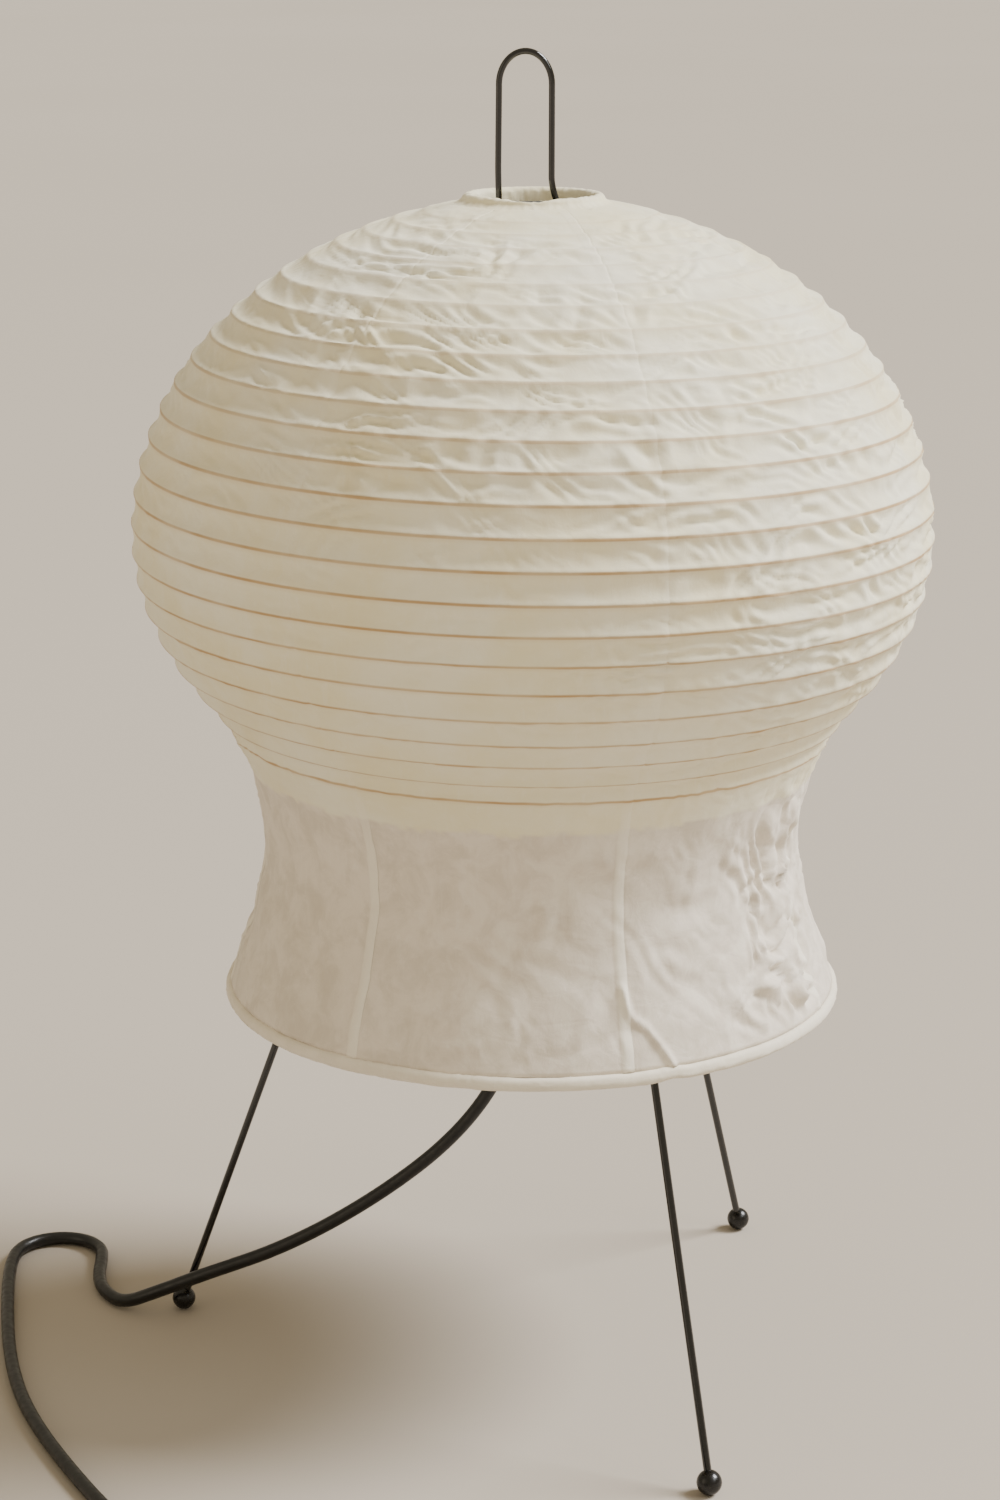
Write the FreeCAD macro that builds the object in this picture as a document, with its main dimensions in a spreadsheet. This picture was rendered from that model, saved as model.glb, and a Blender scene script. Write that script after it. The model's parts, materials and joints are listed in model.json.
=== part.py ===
"""Paper table lantern on a black wire tripod, as a parametric FreeCAD document, in millimetres.

+Z is up and -Y is the front. The origin is on the surface that the feet stand on, under the
shade's axis. Azimuths are in degrees from the front, counter-clockwise seen from above, so 90 is
the +X side. Heights in the shade are given as drops below its top.
"""

import FreeCAD, Part

import math
import os
import re

import Sketcher
from FreeCAD import Placement, Rotation, Vector

SIZES = {
    # the shade's meridian
    "shade_top": (458.0, "height of the shade's top edge"),
    "shade_height": (306.0, "from the shade's top edge to the bottom ring"),
    "neck_drop": (3.2, "drop where the paper meets the collar"),
    "widest_radius": (151.4, "largest radius of the paper"),
    "widest_drop": (126.0, "drop of the widest place"),
    "belly_fall": (110.0, "half height of the lower ellipse"),
    "belly_end_drop": (186.0, "drop where the lower ellipse ends"),
    "waist_radius": (103.5, "smallest radius below the globe"),
    "skirt_height": (60.05, "height of the skirt's lower edge below the waist"),
    "skirt_flare": (0.28, "radius gained per drop at the lower edge"),
    "paper_thick": (0.5, "thickness of the paper skin"),
    "gore_count": (7, "paper gores around the shade"),
    "gore_azimuth": (16.7, "azimuth of the first seam"),
    # the bamboo rib
    "rib_thick": (1.3, "width of the rib's square strip of bamboo"),
    "rib_pitch": (11.4, "distance between turns along the paper"),
    "rib_end_drop": (203.0, "drop that the rib's last end comes to"),
    "rib_start": (9.0, "distance of the rib's first end from the collar, along the paper"),
    "rib_azimuth": (98.0, "azimuth of the rib's first end"),
    # rings and the paper rolled over them
    "ring_wire": (2.4, "wire of the top and bottom rings"),
    "top_ring_radius": (24.35, "radius of the top ring's wire centre"),
    "collar_thick": (4.2, "thickness of the paper rolled over the top ring"),
    "hem_radius": (117.0, "radius of the bottom ring's wire centre"),
    "hem_thick": (5.3, "thickness of the paper rolled over the bottom ring"),
    "roll_gap": (0.1, "gap between a ring's wire and its paper"),
    "seat_gap": (0.3, "gap between pieces that rest on each other"),
    # legs
    "leg_wire": (3.0, "wire of the legs"),
    "leg_bend": (9.0, "radius of the bend at the top of a leg"),
    "arm_gap": (3.9, "gap between the legs' ends and the nut under the hub plate"),
    "ball_radius": (4.75, "radius of a foot ball"),
    "ball_centre": (4.6, "height of a foot ball's centre, which leaves it a small flat"),
    "front_azimuth": (25.9, "front leg"),
    "front_inset": (16.4, "front leg inside the bottom ring's wire"),
    "front_lean": (18.4, "front leg's lean from upright"),
    "back_azimuth": (140.3, "back leg"),
    "back_inset": (25.0, "back leg inside the bottom ring's wire"),
    "back_lean": (18.6, "back leg's lean from upright"),
    "left_azimuth": (260.3, "left leg"),
    "left_inset": (25.5, "left leg inside the bottom ring's wire"),
    "left_lean": (19.9, "left leg's lean from upright"),
    "hook_wire": (1.8, "wire of the hooks that hold the bottom ring from the inside"),
    "hook_rise": (6.0, "height of a hook's upturned end"),
    "hook_drop": (2.6, "a hook's stem below the bottom ring's wire centre"),
    "hook_bend": (1.8, "radius of the bend in a hook"),
    # hub plate, its nipple and nuts
    "hub_drop": (213.0, "hub plate's upper face below the shade's top"),
    "plate_thick": (2.0, "thickness of the hub plate"),
    "plate_margin": (2.8, "hub plate outside the uprights"),
    "nipple_radius": (5.0, "M10 threaded nipple"),
    "nipple_bore": (3.3, "radius of the nipple's bore"),
    "nipple_below": (12.0, "nipple below the hub plate's upper face"),
    "nipple_above": (8.0, "nipple above the hub plate's upper face"),
    "thread_gap": (0.1, "radial gap on the nipple"),
    "nut_flats": (14.0, "nut width across flats"),
    "nut_thick": (3.0, "nut thickness"),
    # stretcher wire and handle loop
    "handle_wire": (2.4, "wire of the stretcher and handle loop"),
    "upright_gap": (3.3, "gap between the bulb and the uprights"),
    "loop_left": (12.7, "left side of the handle loop, from the axis"),
    "loop_right": (6.7, "right side of the handle loop, from the axis"),
    "loop_rise": (51.0, "top of the loop's wire centre above the shade's top"),
    "shoulder_bend": (3.0, "radius of the bends at the shoulders"),
    # lampholder
    "holder_wall": (1.6, "wall of the lampholder"),
    "cap_height": (18.0, "height of the lampholder's cap"),
    "cap_floor": (3.0, "floor of the lampholder's cap"),
    "holder_gap": (0.5, "gap between the lampholder's shell and its insulator"),
    "insulator_wall": (3.5, "wall of the insulator"),
    "insulator_floor": (6.0, "floor of the insulator"),
    "insulator_rise": (0.7, "insulator's rim above the bulb's cap"),
    "insulator_gap": (0.4, "gap between the screw shell and the insulator"),
    "insulator_seat": (2.0, "insulator's underside below the cap's rim"),
    "shell_gap": (0.4, "gap between the bulb's cap and the E27 screw shell"),
    "shell_wall": (0.4, "wall of the screw shell"),
    "shell_fall": (1.3, "screw shell's rim below the bulb's cap rim"),
    "tongue_thick": (2.0, "height of the centre contact"),
    "tongue_radius": (4.0, "radius of the centre contact"),
    "terminal_radius": (1.8, "radius of a terminal screw"),
    "terminal_reach": (10.0, "terminal screws' distance from the axis"),
    "terminal_length": (5.0, "length of a terminal screw below the insulator"),
    # bulb
    "bulb_cap_radius": (13.2, "E27 cap of the bulb"),
    "bulb_cap_height": (24.0, "height of the bulb's cap"),
    "bulb_tip_radius": (5.0, "radius of the bulb's contact"),
    "bulb_tip_height": (2.0, "height of the bulb's contact"),
    "bulb_neck_step": (0.4, "the glass inside the cap's rim"),
    "bulb_radius": (22.5, "radius of the golf-ball bulb"),
    "bulb_centre_rise": (27.0, "centre of the glass above the cap"),
    # cord, coil, switch and plug
    "cord_thick": (5.4, "diameter of the round mains cord"),
    "grip_wall": (2.4, "wall of the cord grip around the nipple"),
    "grip_end_wall": (0.9, "wall of the cord grip where the cord leaves it"),
    "grip_length": (28.0, "length of the cord grip"),
    "switch_length": (60.0, "length of the switch"),
    "switch_width": (26.0, "width of the switch"),
    "switch_split": (6.6, "height of the joint between the switch's halves"),
    "switch_height": (15.5, "height of the switch's housing"),
    "switch_corner": (9.0, "corner radius of the switch seen from above"),
    "switch_wall": (1.6, "wall of the switch"),
    "rocker_length": (20.0, "length of the rocker"),
    "rocker_width": (11.0, "width of the rocker"),
    "rocker_gap": (0.9, "gap at the rocker's ends"),
    "rocker_side_gap": (0.3, "gap at the rocker's sides"),
    "rocker_proud": (2.2, "the rocker's ends above the housing"),
    "rocker_dip": (1.4, "depth of the hollow in the rocker's top"),
    "rocker_tilt": (6.0, "tilt of the rocker at rest, about its pivot"),
    "rocker_belly": (5.0, "depth of the rocker below its pivot"),
    "pivot_height": (11.5, "height of the rocker's pivot"),
    "pivot_radius": (1.2, "radius of the rocker's pivot"),
    "pivot_proud": (1.0, "length of the pivot beside the rocker"),
    "pivot_gap": (0.1, "gap around the rocker's pivot"),
    "screw_radius": (2.2, "radius of a housing screw's head"),
    "screw_thick": (1.2, "height of a housing screw's head"),
    "screw_spacing": (40.0, "distance between the housing screws"),
    "coil_radius": (30.25, "middle of the coil's turns"),
    "coil_columns": (3, "turns of the coil beside each other"),
    "coil_layers": (2, "turns of the coil on top of each other"),
    "coil_slack": (0.4, "room for the turns of the coil"),
    "coil_lift": (0.9, "height of the coil's underside"),
    "tie_width": (9.0, "width of the coil's tie"),
    "tie_thick": (0.7, "thickness of the coil's tie"),
    "plug_length": (36.0, "length of the plug's body"),
    "plug_width": (35.0, "width of the plug's body"),
    "plug_thick": (13.7, "thickness of the plug's body"),
    "plug_back_width": (15.0, "width of the plug's body at its cord end"),
    "plug_relief": (20.0, "length of the plug's strain relief"),
    "pin_radius": (2.0, "radius of a plug pin"),
    "pin_length": (19.0, "length of a plug pin"),
    "pin_spacing": (19.0, "distance between the plug pins"),
}

SIDES = ("front", "back", "left")
FIT = 0.05  # a joint that is face to face, without an overlap
BULB_NECK_ANGLE = 35  # degrees below the bulb's middle where its neck meets the round glass
DOME_STEPS, BELLY_STEPS, WAIST_STEPS, SKIRT_STEPS = 8, 4, 4, 4  # spans of the meridian

# Where the things on the cord lie, and the cord's own route, in the lantern's frame.
SWITCH_END = Vector(-106, -186, 0)  # the end that the cord comes to, with the switch along +X
COIL_CENTRE = Vector(8, -221, 0)
PLUG_CORD_END = Vector(-22, -257.2, 0)  # the plug points along -X
CORD_HANGING = [(0, 0, 180), (-2.5, 0.3, 146), (-11, 1.2, 112), (-31, 3.2, 83), (-63, 6.6, 56),
                (-99, 10.3, 33.5), (-134, 14, 19.2), (-153, 16.4, 10.6)]
CORD_LYING = [(-168, 22), (-178, 35.5), (-181.5, 51), (-182, 65.5), (-183.5, 78), (-191, 86.8),
              (-202, 89.8), (-212.8, 85.9), (-219.4, 76.5), (-220, 62), (-218.3, 43), (-214.6, 17),
              (-209.8, -12), (-203.5, -41), (-195, -69), (-184, -95), (-172, -119), (-160, -141),
              (-150.5, -157), (-140.5, -170)]

# Sizes that follow from the ones above, as formulas of the sheet.
FITTED = {
    "hem_height": "shade_top - shade_height",
    "waist_drop": "shade_height - hem_thick / 2 - seat_gap - skirt_height",
    "neck_radius": "top_ring_radius + collar_thick / 2",
    "skirt_end_radius": "hem_radius + paper_thick + roll_gap",
    "plate_top": "shade_top - hub_drop",
    "upright_reach": "bulb_radius + upright_gap + handle_wire / 2",
    "plate_radius": "upright_reach + handle_wire / 2 + plate_margin",
    "nut_corner": "nut_flats / sqrt(3)",
    "arm_end_radius": "nut_corner + arm_gap",
    "shell_bore": "bulb_cap_radius + shell_gap",
    "insulator_bore": "shell_bore + shell_wall + insulator_gap",
    "insulator_radius": "insulator_bore + insulator_wall",
    "holder_radius": "insulator_radius + holder_gap + holder_wall",
    "holder_rim": "plate_top + cap_height",
    "insulator_base": "holder_rim - insulator_seat",
    "insulator_bench": "insulator_base + insulator_floor",
    "bulb_tip": "insulator_bench + tongue_thick + seat_gap",
    "bulb_cap_base": "bulb_tip + bulb_tip_height",
    "bulb_rim": "bulb_cap_base + bulb_cap_height",
    "insulator_rim": "bulb_rim + insulator_rise",
    "sleeve_top": "insulator_rim + seat_gap + holder_wall",
    "nut_underside": "plate_top - plate_thick - nut_thick",
    "grip_top_radius": "nipple_radius + thread_gap + grip_wall",
    "grip_end_radius": "cord_thick / 2 + grip_end_wall",
    "grip_end": "nut_underside - grip_length",
    "coil_width": "coil_columns * cord_thick + coil_slack",
    "coil_height": "coil_layers * cord_thick + coil_slack",
}

doc = FreeCAD.newDocument("paper_lantern")
sizes = doc.addObject("Spreadsheet::Sheet", "sizes")
for row, (alias, (value, meaning)) in enumerate(SIZES.items(), start=1):
    sizes.set(f"A{row}", meaning)
    sizes.set(f"B{row}", str(value))
    sizes.setAlias(f"B{row}", alias)
doc.recompute()
for row, (alias, formula) in enumerate(FITTED.items(), start=len(SIZES) + 1):
    sizes.set(f"B{row}", "=" + formula)
    sizes.setAlias(f"B{row}", alias)
    doc.recompute()

nodes = []


def size(alias):
    """The sheet's value of a size."""
    return float(sizes.get(alias))


def bound(formula):
    """A formula of sizes as a FreeCAD expression that reads the sheet."""
    return re.sub(r"[a-z]\w*", r"sizes.\g<0>", formula)


def keep(node, label):
    """Makes an object a node of the lantern, under its own name."""
    node.Label = label
    nodes.append(node)
    return node


def spun(azimuth):
    """The turn that brings the local +X side to an azimuth."""
    return Placement(Vector(), Rotation(Vector(0, 0, 1), azimuth - 90))


def origin_plane(body, role):
    return [part for part in body.Origin.OriginFeatures if part.Role == role][0]


def outline_sketch(body, name, plane, outline, offset=None):
    """A closed polygon sketch whose corners are pairs of formulas, measured from the origin."""
    sketch = body.newObject("Sketcher::SketchObject", name)
    sketch.AttachmentSupport = (origin_plane(body, plane), [""])
    sketch.MapMode = "FlatFace"
    if offset:
        sketch.setExpression("AttachmentOffset.Base.z", bound(offset))
    count = len(outline)
    corners = [Vector(math.cos(2 * math.pi * k / count) + 2, math.sin(2 * math.pi * k / count) + 2)
               for k in range(count)]
    for k in range(count):
        sketch.addGeometry(Part.LineSegment(corners[k], corners[(k + 1) % count]), False)
    for k in range(count):
        sketch.addConstraint(Sketcher.Constraint("Coincident", k, 2, (k + 1) % count, 1))
    for k, (across, up) in enumerate(outline):
        for kind, formula in (("DistanceX", across), ("DistanceY", up)):
            if formula == "0":
                axis = -2 if kind == "DistanceX" else -1
                sketch.addConstraint(Sketcher.Constraint("PointOnObject", k, 1, axis))
                continue
            index = sketch.addConstraint(Sketcher.Constraint(kind, -1, 1, k, 1, 1.0 + k))
            sketch.setExpression(f"Constraints[{index}]", bound(formula))
    return sketch


def turned(label, outline):
    """A body turned about Z from a closed outline of (radius, height) formulas."""
    body = keep(doc.addObject("PartDesign::Body", label), label)
    sketch = outline_sketch(body, label + "_outline", "XZ_Plane", outline)
    turn = body.newObject("PartDesign::Revolution", label + "_turn")
    turn.Profile = sketch
    turn.ReferenceAxis = (sketch, ["V_Axis"])
    turn.Angle = 360
    return body


def tube_outline(inner, outer, low, high):
    """The outline of a plain tube or ring."""
    return [(inner, low), (outer, low), (outer, high), (inner, high)]


def rounded_path(points, radii):
    """Straight runs joined by tangent arcs, with a radius for each inner point, as one wire."""
    edges = []
    start = points[0]
    for before, corner, after, radius in zip(points, points[1:], points[2:], radii):
        back = (before - corner).normalize()
        ahead = (after - corner).normalize()
        half_turn = (math.pi - back.getAngle(ahead)) / 2
        set_back = radius * math.tan(half_turn)
        middle_way = (back + ahead).normalize()
        first = corner + back * set_back
        last = corner + ahead * set_back
        middle = corner + middle_way * (radius / math.cos(half_turn) - radius)
        if start.distanceToPoint(first) > FIT:
            edges.append(Part.LineSegment(start, first).toShape())
        edges.append(Part.Arc(first, middle, last).toShape())
        start = last
    edges.append(Part.LineSegment(start, points[-1]).toShape())
    return Part.Wire(edges)


def swept(path, thick):
    """A round bar along a wire of lines and arcs."""
    edge = path.OrderedEdges[0]
    heading = edge.tangentAt(edge.FirstParameter)
    section = Part.Wire(Part.makeCircle(thick / 2, edge.valueAt(edge.FirstParameter), heading))
    return path.makePipeShell([section], True, True)


def swept_strip(path, thick):
    """A square bar along a wire that starts across +X, with its first sides along X and Z."""
    edge = path.OrderedEdges[0]
    start = edge.valueAt(edge.FirstParameter)
    across = Vector(thick / 2, 0, 0)
    up = Vector(0, 0, thick / 2)
    corners = [start - across - up, start + across - up, start + across + up, start - across + up]
    return path.makePipeShell([Part.makePolygon(corners + corners[:1])], True, False)


def plain(label, shape, placement=None):
    """A node with a shape of its own."""
    node = keep(doc.addObject("Part::Feature", label), label)
    node.Shape = shape
    if placement:
        node.Placement = placement
    return node


# ---------------------------------------------------------------- the shade


def eased(share, start, end, start_slope, end_slope, length):
    """A cubic from start to end with given slopes, at a share of its length."""
    rest = 1 - share
    return (start * (1 + 2 * share) * rest**2 + end * (3 - 2 * share) * share**2
            + length * (start_slope * share * rest**2 - end_slope * rest * share**2))


def meridian():
    """Points (radius, height) down the paper's outer face, from the collar to the hem."""
    top = size("shade_top")
    widest = size("widest_radius")
    widest_drop = size("widest_drop")
    first = math.asin(size("neck_radius") / widest)
    dome_rise = (widest_drop - size("neck_drop")) / math.cos(first)
    belly = size("belly_fall")
    belly_end = math.asin((size("belly_end_drop") - widest_drop) / belly)
    points = []
    for step in range(DOME_STEPS):
        angle = first + (math.pi / 2 - first) * step / DOME_STEPS
        drop = widest_drop - dome_rise * math.cos(angle)
        points.append((widest * math.sin(angle), top - drop))
    for step in range(BELLY_STEPS):
        angle = belly_end * step / BELLY_STEPS
        points.append((widest * math.cos(angle), top - widest_drop - belly * math.sin(angle)))
    waist = size("waist_radius")
    fall = size("waist_drop") - size("belly_end_drop")
    slope = -widest / belly * math.tan(belly_end)
    for step in range(WAIST_STEPS):
        share = step / WAIST_STEPS
        radius = eased(share, widest * math.cos(belly_end), waist, slope, 0, fall)
        points.append((radius, top - size("belly_end_drop") - fall * share))
    fall = size("skirt_height")
    edge = top - size("waist_drop") - fall
    for step in range(SKIRT_STEPS + 1):
        share = step / SKIRT_STEPS
        radius = eased(share, waist, size("skirt_end_radius"), 0, size("skirt_flare"), fall)
        points.append((radius, edge + fall * (1 - share)))
    return [Vector(radius, 0, height) for radius, height in points]


def curve_through(points):
    curve = Part.BSplineCurve()
    curve.interpolate(points)
    return curve


def inward(curve, parameter):
    """The unit normal of the meridian that points into the shade."""
    along = Vector(*curve.tangent(parameter)[0])
    return Vector(along.z, 0, -along.x)


def offset_point(curve, parameter, depth):
    return curve.value(parameter) + inward(curve, parameter) * depth


def paper_gore(paper_curve):
    """One gore, from its first seam: a sector of the thin skin that the meridian sweeps."""
    thick = size("paper_thick")
    first, last = paper_curve.FirstParameter, paper_curve.LastParameter
    steps = DOME_STEPS + BELLY_STEPS + WAIST_STEPS + SKIRT_STEPS
    inner_points = [offset_point(paper_curve, first + (last - first) * step / steps, thick)
                    for step in range(steps + 1)]
    inner = curve_through(inner_points)
    ends = (Part.LineSegment(inner.value(inner.FirstParameter), paper_curve.value(first)),
            Part.LineSegment(paper_curve.value(last), inner.value(inner.LastParameter)))
    section = Part.Face(Part.Wire([ends[0].toShape(), paper_curve.toShape(), ends[1].toShape(),
                                   inner.toShape()]))
    return section.revolve(Vector(), Vector(0, 0, 1), 360 / size("gore_count"))


def rib_shape(paper_curve):
    """The spiral rib under the paper, as half turns that each lie in a tilted plane.

    Each half turn is a half circle between two points on opposite sides of the axis, so it is
    level, and square to the radius, where it meets the next one.
    """
    depth = size("paper_thick") + size("seat_gap") + size("rib_thick") / math.sqrt(2)
    first = paper_curve.FirstParameter
    rib_end = Vector(size("waist_radius"), 0, size("shade_top") - size("rib_end_drop"))
    end = paper_curve.parameter(rib_end)
    room = paper_curve.length(first, end) - size("rib_start")
    half_turns = int(2 * room / size("rib_pitch"))
    joints = []
    for half in range(half_turns + 1):
        along = size("rib_start") + size("rib_pitch") * half / 2
        parameter = paper_curve.parameterAtDistance(along, first)
        point = offset_point(paper_curve, parameter, depth)
        joints.append(Vector(point.x * (-1) ** half, 0, point.z))
    arcs = []
    for half, (start, end) in enumerate(zip(joints, joints[1:])):
        side = Vector(0, (-1) ** half, 0)
        middle = (start + end) / 2 + side * (start - end).Length / 2
        arcs.append(Part.Arc(start, middle, end).toShape())
    return swept_strip(Part.Wire(arcs), size("rib_thick"))


def rolled_paper(label, radius, height, thick):
    """Paper rolled round a ring's wire: a torus with a round channel for the wire."""
    roll = doc.addObject("Part::Torus", label + "_roll")
    channel = doc.addObject("Part::Torus", label + "_channel")
    roll.setExpression("Radius2", bound(f"{thick} / 2"))
    channel.setExpression("Radius2", bound("ring_wire / 2 + roll_gap"))
    for torus in (roll, channel):
        torus.setExpression("Radius1", bound(radius))
        torus.setExpression("Placement.Base.z", bound(height))
    paper = keep(doc.addObject("Part::Cut", label), label)
    paper.Base = roll
    paper.Tool = channel


def wire_ring(label, radius, height):
    ring = keep(doc.addObject("Part::Torus", label), label)
    ring.setExpression("Radius1", bound(radius))
    ring.setExpression("Radius2", bound("ring_wire / 2"))
    ring.setExpression("Placement.Base.z", bound(height))


def make_shade():
    paper_curve = curve_through(meridian())
    gore = paper_gore(paper_curve)
    for number in range(int(size("gore_count"))):
        azimuth = size("gore_azimuth") + 360 / size("gore_count") * number
        plain(f"paper_gore_{number + 1}", gore, spun(azimuth))
    plain("bamboo_rib", rib_shape(paper_curve), spun(size("rib_azimuth")))
    collar_height = "shade_top - collar_thick / 2"
    rolled_paper("paper_collar", "top_ring_radius", collar_height, "collar_thick")
    wire_ring("top_ring", "top_ring_radius", collar_height)
    rolled_paper("paper_hem", "hem_radius", "hem_height", "hem_thick")
    wire_ring("bottom_ring", "hem_radius", "hem_height")


# ---------------------------------------------------------------- the wire frame


def leg_line(side):
    """A leg's distance from the axis at its foot, and how much nearer it is per height."""
    lean = math.tan(math.radians(size(f"{side}_lean")))
    rise = size("hem_height") - size("ball_centre")
    return size("hem_radius") - size(f"{side}_inset") + lean * rise, lean


def arm_height():
    return size("plate_top") - size("plate_thick") - size("leg_wire") / 2


def make_leg(side):
    """A wire from its foot ball up to the hub plate, where it bends in under the plate."""
    reach, lean = leg_line(side)
    foot = Vector(reach, 0, size("ball_centre"))
    rise = arm_height() - foot.z
    path = [foot, Vector(reach - lean * rise, 0, arm_height()),
            Vector(size("arm_end_radius"), 0, arm_height())]
    leg = swept(rounded_path(path, [size("leg_bend")]), size("leg_wire"))
    ball = Part.makeSphere(size("ball_radius") + FIT, foot)
    plain(f"{side}_leg", leg.cut(ball), spun(size(f"{side}_azimuth")))


def make_foot(side):
    """A ball with a small flat, which the leg's end stands in."""
    ball = doc.addObject("Part::Sphere", f"{side}_ball")
    ball.setExpression("Radius", bound("ball_radius"))
    ball.setExpression("Placement.Base.z", bound("ball_centre"))
    block = doc.addObject("Part::Box", f"{side}_foot_block")
    for edge in ("Length", "Width", "Height"):
        block.setExpression(edge, bound("4 * ball_radius"))
    for axis in "xy":
        block.setExpression(f"Placement.Base.{axis}", bound("-2 * ball_radius"))
    foot = keep(doc.addObject("Part::MultiCommon", f"{side}_foot"), f"{side}_foot")
    foot.Shapes = [ball, block]
    turn = spun(size(f"{side}_azimuth"))
    reach, _ = leg_line(side)
    foot.Placement = Placement(turn.multVec(Vector(reach, 0, 0)), turn.Rotation)


def make_hook(side):
    """A small wire from a leg, which turns up and presses against the inside of the bottom ring."""
    wire = size("hook_wire")
    reach, lean = leg_line(side)
    height = size("hem_height") - size("hook_drop")
    leg_face = reach - lean * (height - size("ball_centre"))
    leg_face += size("leg_wire") / 2 * math.hypot(1, lean) + FIT + lean * wire / 2
    inside = size("hem_radius") - size("hem_thick") / 2 - size("seat_gap") - wire / 2
    path = [Vector(leg_face, 0, height), Vector(inside, 0, height),
            Vector(inside, 0, height + size("hook_rise"))]
    hook = swept(rounded_path(path, [size("hook_bend")]), wire)
    plain(f"{side}_ring_hook", hook, spun(size(f"{side}_azimuth")))


def hexagon_nut(label, low):
    """A nut on the nipple."""
    nut = keep(doc.addObject("Part::Cut", label), label)
    prism = doc.addObject("Part::Prism", label + "_hexagon")
    prism.Polygon = 6
    prism.setExpression("Circumradius", bound("nut_corner"))
    hole = doc.addObject("Part::Cylinder", label + "_hole")
    hole.setExpression("Radius", bound("nipple_radius + thread_gap"))
    for solid in (prism, hole):
        solid.setExpression("Height", bound("nut_thick"))
        solid.setExpression("Placement.Base.z", bound(low))
    nut.Base = prism
    nut.Tool = hole


def make_handle():
    """The stretcher: one wire, up from the hub plate, in under the top ring, and up to a loop."""
    wire = size("handle_wire")
    reach, left, right = size("upright_reach"), -size("loop_left"), size("loop_right")
    shoulder = size("shade_top") - size("collar_thick") - size("seat_gap") - wire / 2
    top = size("shade_top") + size("loop_rise")
    foot = size("plate_top")
    points = [Vector(-reach, 0, foot), Vector(-reach, 0, shoulder), Vector(left, 0, shoulder),
              Vector(left, 0, top), Vector(right, 0, top), Vector(right, 0, shoulder),
              Vector(reach, 0, shoulder), Vector(reach, 0, foot)]
    bend = size("shoulder_bend")
    arch = (right - left) / 2 * (1 - FIT)
    plain("handle_wire", swept(rounded_path(points, [bend, bend, arch, arch, bend, bend]), wire))


def make_frame():
    for side in SIDES:
        make_leg(side)
        make_foot(side)
        make_hook(side)
    turned("hub_plate", tube_outline("nipple_radius + thread_gap", "plate_radius",
                                     "plate_top - plate_thick", "plate_top"))
    turned("threaded_nipple", tube_outline("nipple_bore", "nipple_radius",
                                           "plate_top - nipple_below", "plate_top + nipple_above"))
    hexagon_nut("hub_nut", "nut_underside")
    hexagon_nut("cap_nut", "plate_top + cap_floor")
    make_handle()


# ---------------------------------------------------------------- lampholder and bulb


def make_lampholder():
    floor = "plate_top + cap_floor"
    turned("lampholder_cap", [
        ("nipple_radius + thread_gap", "plate_top"), ("holder_radius", "plate_top"),
        ("holder_radius", "holder_rim"), ("holder_radius - holder_wall", "holder_rim"),
        ("holder_radius - holder_wall", floor), ("nipple_radius + thread_gap", floor)])
    turned("lampholder_sleeve", [
        ("holder_radius - holder_wall", "holder_rim"), ("holder_radius", "holder_rim"),
        ("holder_radius", "sleeve_top"), ("insulator_bore", "sleeve_top"),
        ("insulator_bore", "sleeve_top - holder_wall"),
        ("holder_radius - holder_wall", "sleeve_top - holder_wall")])
    turned("lampholder_insulator", [
        ("0", "insulator_base"), ("insulator_radius", "insulator_base"),
        ("insulator_radius", "insulator_rim"), ("insulator_bore", "insulator_rim"),
        ("insulator_bore", "insulator_bench"), ("0", "insulator_bench")])
    turned("screw_shell", tube_outline("shell_bore", "shell_bore + shell_wall",
                                       "insulator_bench", "bulb_rim - shell_fall"))
    turned("centre_contact", tube_outline("0", "tongue_radius", "insulator_bench",
                                          "insulator_bench + tongue_thick"))
    length = size("terminal_length")
    screws = [Part.makeCylinder(size("terminal_radius"), length,
                                Vector(side * size("terminal_reach"), 0,
                                       size("insulator_base") - length))
              for side in (-1, 1)]
    plain("terminal_screws", Part.makeCompound(screws))
    nipple_end = "plate_top - nipple_below"
    turned("cord_grip", [
        ("0", "grip_end"), ("grip_end_radius", "grip_end"),
        ("grip_top_radius", f"{nipple_end} - holder_wall"), ("grip_top_radius", "nut_underside"),
        ("nipple_radius + thread_gap", "nut_underside"),
        ("nipple_radius + thread_gap", f"{nipple_end} - thread_gap"),
        ("0", f"{nipple_end} - thread_gap")])


def make_bulb():
    turned("bulb_contact", tube_outline("0", "bulb_tip_radius", "bulb_tip", "bulb_cap_base"))
    turned("bulb_cap", tube_outline("0", "bulb_cap_radius", "bulb_cap_base", "bulb_rim"))
    rim, radius = size("bulb_rim"), size("bulb_radius")
    neck = size("bulb_cap_radius") - size("bulb_neck_step")
    centre = rim + size("bulb_centre_rise")
    tangent = math.radians(BULB_NECK_ANGLE)
    widening = Vector(radius * math.cos(tangent), 0, centre - radius * math.sin(tangent))
    side, top = Vector(radius, 0, centre), Vector(0, 0, centre + radius)
    outline = Part.Wire([
        Part.LineSegment(Vector(0, 0, rim), Vector(neck, 0, rim)).toShape(),
        Part.LineSegment(Vector(neck, 0, rim), widening).toShape(),
        Part.Arc(widening, side, top).toShape(),
        Part.LineSegment(top, Vector(0, 0, rim)).toShape()])
    plain("bulb_glass", Part.Face(outline).revolve(Vector(), Vector(0, 0, 1), 360))


# ---------------------------------------------------------------- the cord and what is on it


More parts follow.
